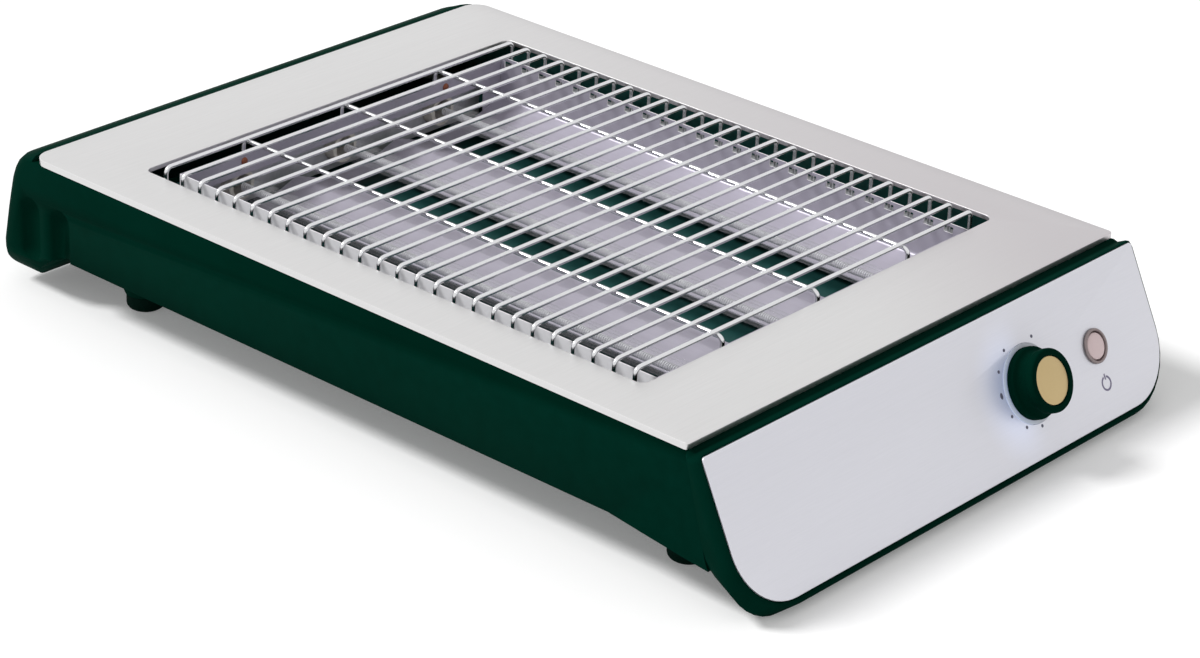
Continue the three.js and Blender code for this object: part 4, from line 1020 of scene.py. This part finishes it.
# %% [markdown]
# The lamp behind the ring spills a little blue light past the knob's left side. A Mapping node
# lays the pattern on the slope with its centre in the knob; the mask fades with the distance
# and is strongest towards the left.

# %% Light spill
knob_place = slope @ Matrix.Translation((knob_spot[0] * mm, -knob_spot[1] * mm, 0))


def round_the_knob(beside):
    """Object coordinates moved into the knob's own place on the slope."""
    centre = new_node(beside, "Mapping")
    centre.vector_type = "TEXTURE"
    feed(centre.inputs["Location"], knob_place.to_translation())
    feed(centre.inputs["Rotation"], knob_place.to_euler())
    feed(centre.inputs["Vector"], object_place(beside))
    return centre.outputs["Vector"]


spill_group, entry, leave = new_group("Light spill", ("Mask",), Reach=0.023, Start=0.013)
spot = axes(round_the_knob(entry))
squares = [maths("MULTIPLY", spot[axis], spot[axis]) for axis in "XY"]
radius = maths("SQRT", maths("ADD", *squares))
fade = spread(radius, (entry["Start"], entry["Reach"]), 1, 0, soft=True)
leftness = spread(maths("DIVIDE", spot["X"], radius), (0.25, -0.95), soft=True)
feed(leave["Mask"], maths("MULTIPLY", fade, leftness))

# %% [markdown]
# Painted shade: the plate is painted a little darker and warmer towards its right front corner.
# A plain colour can't know that, so a mask runs slantwise across the plate.

# %% Painted shade on the plate
painted_shade_group, entry, leave = new_group("Painted shade on plate", ("Mask",), From=0.03, To=0.17)
spot = axes(object_place(entry))
slant = maths("SUBTRACT", spot["X"], maths("MULTIPLY", spot["Y"], 0.35))
feed(leave["Mask"], spread(slant, (entry["From"], entry["To"]), soft=True))

# %% [markdown]
# The reflector's sheet is drawn metal inside. Its outer side is painted pale and dull: painted
# light that brightens the shaded gap between its walls and the plate's rim. One piece could have
# two material slots; a mask by place keeps it to one finish.

# %% Painted light on the reflector's outer side
painted_light_outside_group, entry, leave = new_group("Painted light outside", ("Mask",), Half=0.0953)
aside = maths("ABSOLUTE", axes(object_place(entry))["X"])
feed(leave["Mask"], maths("GREATER_THAN", aside, entry["Half"]))

# %% [markdown]
# The casing's inner faces, which show through the gaps beside the grill, are painted a lighter
# green: painted light that lifts the deep shade inside the casing. The inner faces are found by
# their normals: a side wall that looks towards the middle, or a floor that looks up from low
# down.

# %% Painted light inside the casing
ends_middle, floor_height, floor_half = 0.014, 0.03, 0.12
painted_light_inside_group, entry, leave = new_group("Painted light inside", ("Mask",), Depth=0.186)
spot = axes(object_place(entry))
looks = axes(new_node(entry, "NewGeometry").outputs["Normal"])
inwards = maths("LESS_THAN", maths("MULTIPLY", spot["X"], looks["X"]), -0.02)
floor_part = maths("MULTIPLY", maths("LESS_THAN", spot["Z"], floor_height),
                   maths("LESS_THAN", maths("ABSOLUTE", spot["X"]), floor_half))
inner_floor = maths("MULTIPLY", floor_part, maths("GREATER_THAN", looks["Z"], 0.5))
along = maths("ABSOLUTE", maths("SUBTRACT", spot["Y"], ends_middle))
feed(leave["Mask"], maths("MULTIPLY", maths("LESS_THAN", along, entry["Depth"]),
                          maths("MAXIMUM", inwards, inner_floor)))

# %% [markdown]
# ## Finishes
# A finish is one Principled shader, with the numbers that are the same all over set on its own
# sockets. Node groups vary colour, roughness and relief, at the scale of the real one. Each is
# kept under the record's slot, or the piece, that it is for.

# %% Finish helpers
finishes = {}


def new_finish(name, **sockets):
    finish = finishes[name] = bpy.data.materials.new(name + "_finish")
    finish.use_nodes = True
    shader = finish.node_tree.nodes["Principled BSDF"].inputs
    for label, value in sockets.items():
        feed(shader[label.replace("_", " ")], value)
    print("finish", name)
    return shader


def add_group(shader, group, **values):
    node = new_node(shader, "Group")
    node.node_tree = group
    for label, value in values.items():
        feed(node.inputs[label], value)
    return node.outputs


def blend_colours(amount, first, second):
    """Mixes two colours by a mask socket; each is a tuple or a socket."""
    node = new_node(amount, "Mix")
    node.data_type = "RGBA"
    feed(node.inputs["Factor"], amount)
    for key, value in (("A", first), ("B", second)):
        socket = [s for s in node.inputs if s.name == key and s.type == "RGBA"][0]
        feed(socket, (*value, 1) if isinstance(value, tuple) else value)
    return [s for s in node.outputs if s.type == "RGBA"][0]


def between(noise, low, high):
    """Spreads the middle of a noise, 0.3 to 0.7, over a range."""
    return spread(noise, (0.3, 0.7), low, high)


def relief(shader, height, distance):
    bump = new_node(shader, "Bump")
    feed(bump.inputs["Distance"], distance)
    feed(bump.inputs["Height"], height)
    feed(shader["Normal"], bump.outputs["Normal"])


def colour_where(shader, group, colour):
    """Lays a second colour over a finish where the group's mask is 1; gives back the mask."""
    mask = add_group(shader, group)["Mask"]
    base = shader["Base Color"]
    feed(base, blend_colours(mask, base.links[0].from_socket, colour))
    return mask

# %% [markdown]
# ## Moulded finishes
# Plastic, enamel, rubber, ceramic and paint share one recipe: a colour that drifts in patches,
# lighter edges, gloss that hands have changed, and a fine grain as relief. The green is so dark
# that the tint of its highlight does more for it than its base colour.

# %% Moulded finishes
def moulded(name, colour, worn, rough, level, grain_scale=1400.0, depth=0.00002,
            sheen=(1, 1, 1), ior=1.45):
    shader = new_finish(name, Specular_IOR_Level=level, IOR=ior, Specular_Tint=(*sheen, 1))
    grain = add_group(shader, grain_group, Scale=grain_scale, Patches=18.0)
    wear = add_group(shader, wear_group, Amount=0.6, Breakup=160.0)
    touch = add_group(shader, touch_group, Size=22.0)
    darker = tuple(c * 0.82 for c in colour)
    base = blend_colours(between(grain["Patch"], 0, 1), colour, darker)
    feed(shader["Base Color"], blend_colours(wear["Mask"], base, worn))
    feed(shader["Roughness"], between(touch["Smudge"], rough, rough + 0.12))
    relief(shader, grain["Height"], depth)
    return shader


green = moulded("green_plastic", (0.0004, 0.0185, 0.0112), (0.001, 0.032, 0.022), 0.45, 0.5,
                sheen=(0.02, 0.8, 0.6), ior=1.03)
# painted light: a lighter green on the casing's inner faces, against the deep shade there
colour_where(green, painted_light_inside_group, (0.05, 0.20, 0.18))
moulded("tray_enamel", (0.017, 0.078, 0.072), (0.035, 0.11, 0.10), 0.3, 0.12,
        sheen=(0.3, 0.8, 0.7))
for name, colour, worn, rough, level, grain_scale, depth in (
    ("black_plastic", (0.012, 0.013, 0.014), (0.05, 0.05, 0.05), 0.45, 0.3, 1400, 0.00002),
    ("foot_rubber", (0.0006, 0.012, 0.008), (0.002, 0.02, 0.015), 0.75, 0.05, 2200, 0.00005),
    ("ceramic", (0.72, 0.68, 0.60), (0.8, 0.78, 0.72), 0.6, 0.3, 900, 0.00004),
    ("sleeve", (0.60, 0.57, 0.50), (0.7, 0.67, 0.6), 0.7, 0.2, 1600, 0.0001),
    ("dial_marks", (0.13, 0.13, 0.19), (0.2, 0.2, 0.26), 0.5, 0.3, 2000, 0.000005),
    ("power_mark", (0.24, 0.22, 0.33), (0.3, 0.28, 0.4), 0.5, 0.3, 2000, 0.000005),
):
    moulded(name, colour, worn, rough, level, grain_scale, depth)

# %% [markdown]
# ## Metals
# Every metal here is drawn, rolled or ground, so all share the lines, and differ in colour,
# gloss and how coarse the lines are. Where the real metal is dull or coated, shine is below 1,
# which lets it keep its colour in a white room.

# %% Metals
even = (1.0, 1.0, 1.0)


def sheet_metal(name, colour, rough, uneven, scale, depth, stretch=even, tint=0.05, shine=1.0):
    shader = new_finish(name, Metallic=shine)
    lines = add_group(shader, drawn_group, Stretch=stretch, Scale=scale)
    touch = add_group(shader, touch_group, Size=9.0)
    darker = tuple(c * (1 - tint) for c in colour)
    feed(shader["Base Color"], blend_colours(between(lines["Line"], 0, 1), colour, darker))
    feed(shader["Roughness"], maths(
        "ADD", between(touch["Smudge"], 0, uneven),
        between(lines["Line"], rough - uneven / 2, rough + uneven / 2)))
    relief(shader, lines["Line"], depth)
    return shader


for name, colour, rough, uneven, scale, depth, tint, shine in (
    ("wire_chrome", (0.74, 0.745, 0.76), 0.16, 0.05, 900, 0.000003, 0.05, 1.0),
    ("zinc_steel", (0.62, 0.63, 0.65), 0.38, 0.12, 260, 0.000006, 0.2, 0.5),
    ("coil_wire", (0.76, 0.76, 0.79), 0.4, 0.15, 700, 0.000008, 0.2, 0.3),
    ("end_rivets", (0.35, 0.13, 0.08), 0.4, 0.1, 700, 0.000004, 0.2, 1.0),
    ("button_ring", (0.24, 0.20, 0.20), 0.34, 0.06, 900, 0.000003, 0.05, 1.0),
):
    sheet_metal(name, colour, rough, uneven, scale, depth, even, tint, shine)

# %% [markdown]
# The plate is brushed across, so its lines are stretched along x. The painted shade mask then
# makes its colour darker and warmer towards the right front corner.

# %% Plate
across_x = (0.03, 1.0, 1.0)
plate = sheet_metal("plate_steel", (0.69, 0.685, 0.685), 0.30, 0.05, 1500, 0.000004, across_x)
# painted shade: darker and warmer towards the right front corner
colour_where(plate, painted_shade_group, (0.56, 0.535, 0.55))

# %% [markdown]
# The panel is satin aluminium. A lamp in the ring could light it blue, but such a small lamp is
# noisy; a weak emission under the spill mask glows in every view.

# %% Panel
def glow_round_knob(shader, dark, bright, strength, **reach):
    spill = add_group(shader, spill_group, **reach)
    feed(shader["Emission Color"], blend_colours(spill["Mask"], dark, bright))
    feed(shader["Emission Strength"], strength)


panel = sheet_metal("satin_metal", (0.745, 0.745, 0.80), 0.40, 0.04, 1800, 0.000002, across_x,
                    tint=0.03, shine=0.6)
glow_round_knob(panel, (0.0, 0.0, 0.0), (0.42, 0.56, 1.0), 0.26, Reach=0.036, Start=0.012)

# %% [markdown]
# The reflector is drawn along its length. The painted light mask that makes its outer side pale
# also takes the shine away there.

# %% Reflector
along_y, sheet_shine = (1.0, 0.04, 1.0), 0.3
folded_sheet = sheet_metal("polished_sheet", (0.465, 0.44, 0.515), 0.36, 0.08, 600, 0.000002,
                           along_y, shine=sheet_shine)
# painted light: the shaded outer side of the walls turns near white and loses its shine
painted_light_mask = colour_where(folded_sheet, painted_light_outside_group, (0.95, 0.94, 0.965))
feed(folded_sheet["Metallic"],
     maths("SUBTRACT", sheet_shine, maths("MULTIPLY", painted_light_mask, sheet_shine)))

# %% [markdown]
# The gold disc was faced on a lathe, so its lines run in rings round its own middle. The same
# Mapping node moves the pattern's centre to the knob.

# %% Gold
gold = new_finish("gold_disc", Metallic=1.0)
rings = new_node(gold, "TexWave")
rings.wave_type = "RINGS"
rings.rings_direction = "Z"
for label, value in (("Vector", round_the_knob(gold)), ("Scale", 900), ("Distortion", 1.5),
                     ("Detail", 3)):
    feed(rings.inputs[label], value)
lines = rings.outputs["Fac"]
touch = add_group(gold, touch_group, Size=60.0)
feed(gold["Base Color"], blend_colours(lines, (0.53, 0.405, 0.215), (0.47, 0.355, 0.18)))
feed(gold["Roughness"], between(touch["Smudge"], 0.3, 0.42))
relief(gold, lines, 0.000004)

# %% [markdown]
# Ring, button and tubes are clear or milky. Light under the surface is slow to render, so they
# get a pale colour that drifts a little, and gloss that follows their grain.

# %% Ring and button
def milky(name, scale, patches, light, dark, low, high, **sockets):
    shader = new_finish(name, **sockets)
    grain = add_group(shader, grain_group, Scale=scale, Patches=patches)
    feed(shader["Base Color"], blend_colours(between(grain["Patch"], 0, 1), light, dark))
    feed(shader["Roughness"], between(grain["Height"], low, high))
    return shader, grain["Height"]


ring_glow, _ = milky("pale_ring", 800.0, 90.0, (0.66, 0.68, 0.72), (0.62, 0.64, 0.70),
                     0.3, 0.4, Specular_IOR_Level=0.3)
glow_round_knob(ring_glow, (0.02, 0.03, 0.05), (0.40, 0.60, 1.0), 0.2, Reach=0.026, Start=0.016)
button, grain = milky("pink_cap", 1200.0, 160.0, (0.84, 0.67, 0.675), (0.81, 0.645, 0.65),
                      0.28, 0.4, Specular_IOR_Level=0.3)
relief(button, grain, 0.00001)

# %% [markdown]
# Quartz is seen mostly at its rim, where one looks along the wall. Layer Weight gives how much a
# face looks away; it drives a low Alpha, so the coil inside stays in sight.

# %% Quartz
face_alpha, rim_alpha = 0.03, 0.2
quartz, _ = milky("quartz", 500.0, 40.0, (0.90, 0.90, 0.92), (0.84, 0.84, 0.87), 0.06, 0.14,
                  IOR=1.3, Coat_Weight=0.4, Coat_Roughness=0.08)
edge_on = new_node(quartz, "LayerWeight")
feed(edge_on.inputs["Blend"], 0.5)
wall = maths("MULTIPLY", maths("POWER", edge_on.outputs["Facing"], 3.0), rim_alpha)
feed(quartz["Alpha"], maths("ADD", wall, face_alpha, clamp=True))

# %% [markdown]
# ## Giving the finishes out
# Each new piece and each CAD node gets its finish: the one under its own name, or else the one
# of its slot in the record.

# %% Give the finishes
node_slots = {part["node"]: part["material_slot"] for part in frame["record"]["subparts"]}


def dress(piece, finish):
    piece.data.materials.clear()
    piece.data.materials.append(finish)


for piece in made:
    dress(piece, finishes.get(piece.name) or finishes[piece["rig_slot"]])
for node, thing in frame["nodes"].items():
    dress(thing, finishes[node_slots[node]])
print("dressed pieces", len(made), "and nodes", len(frame["nodes"]))
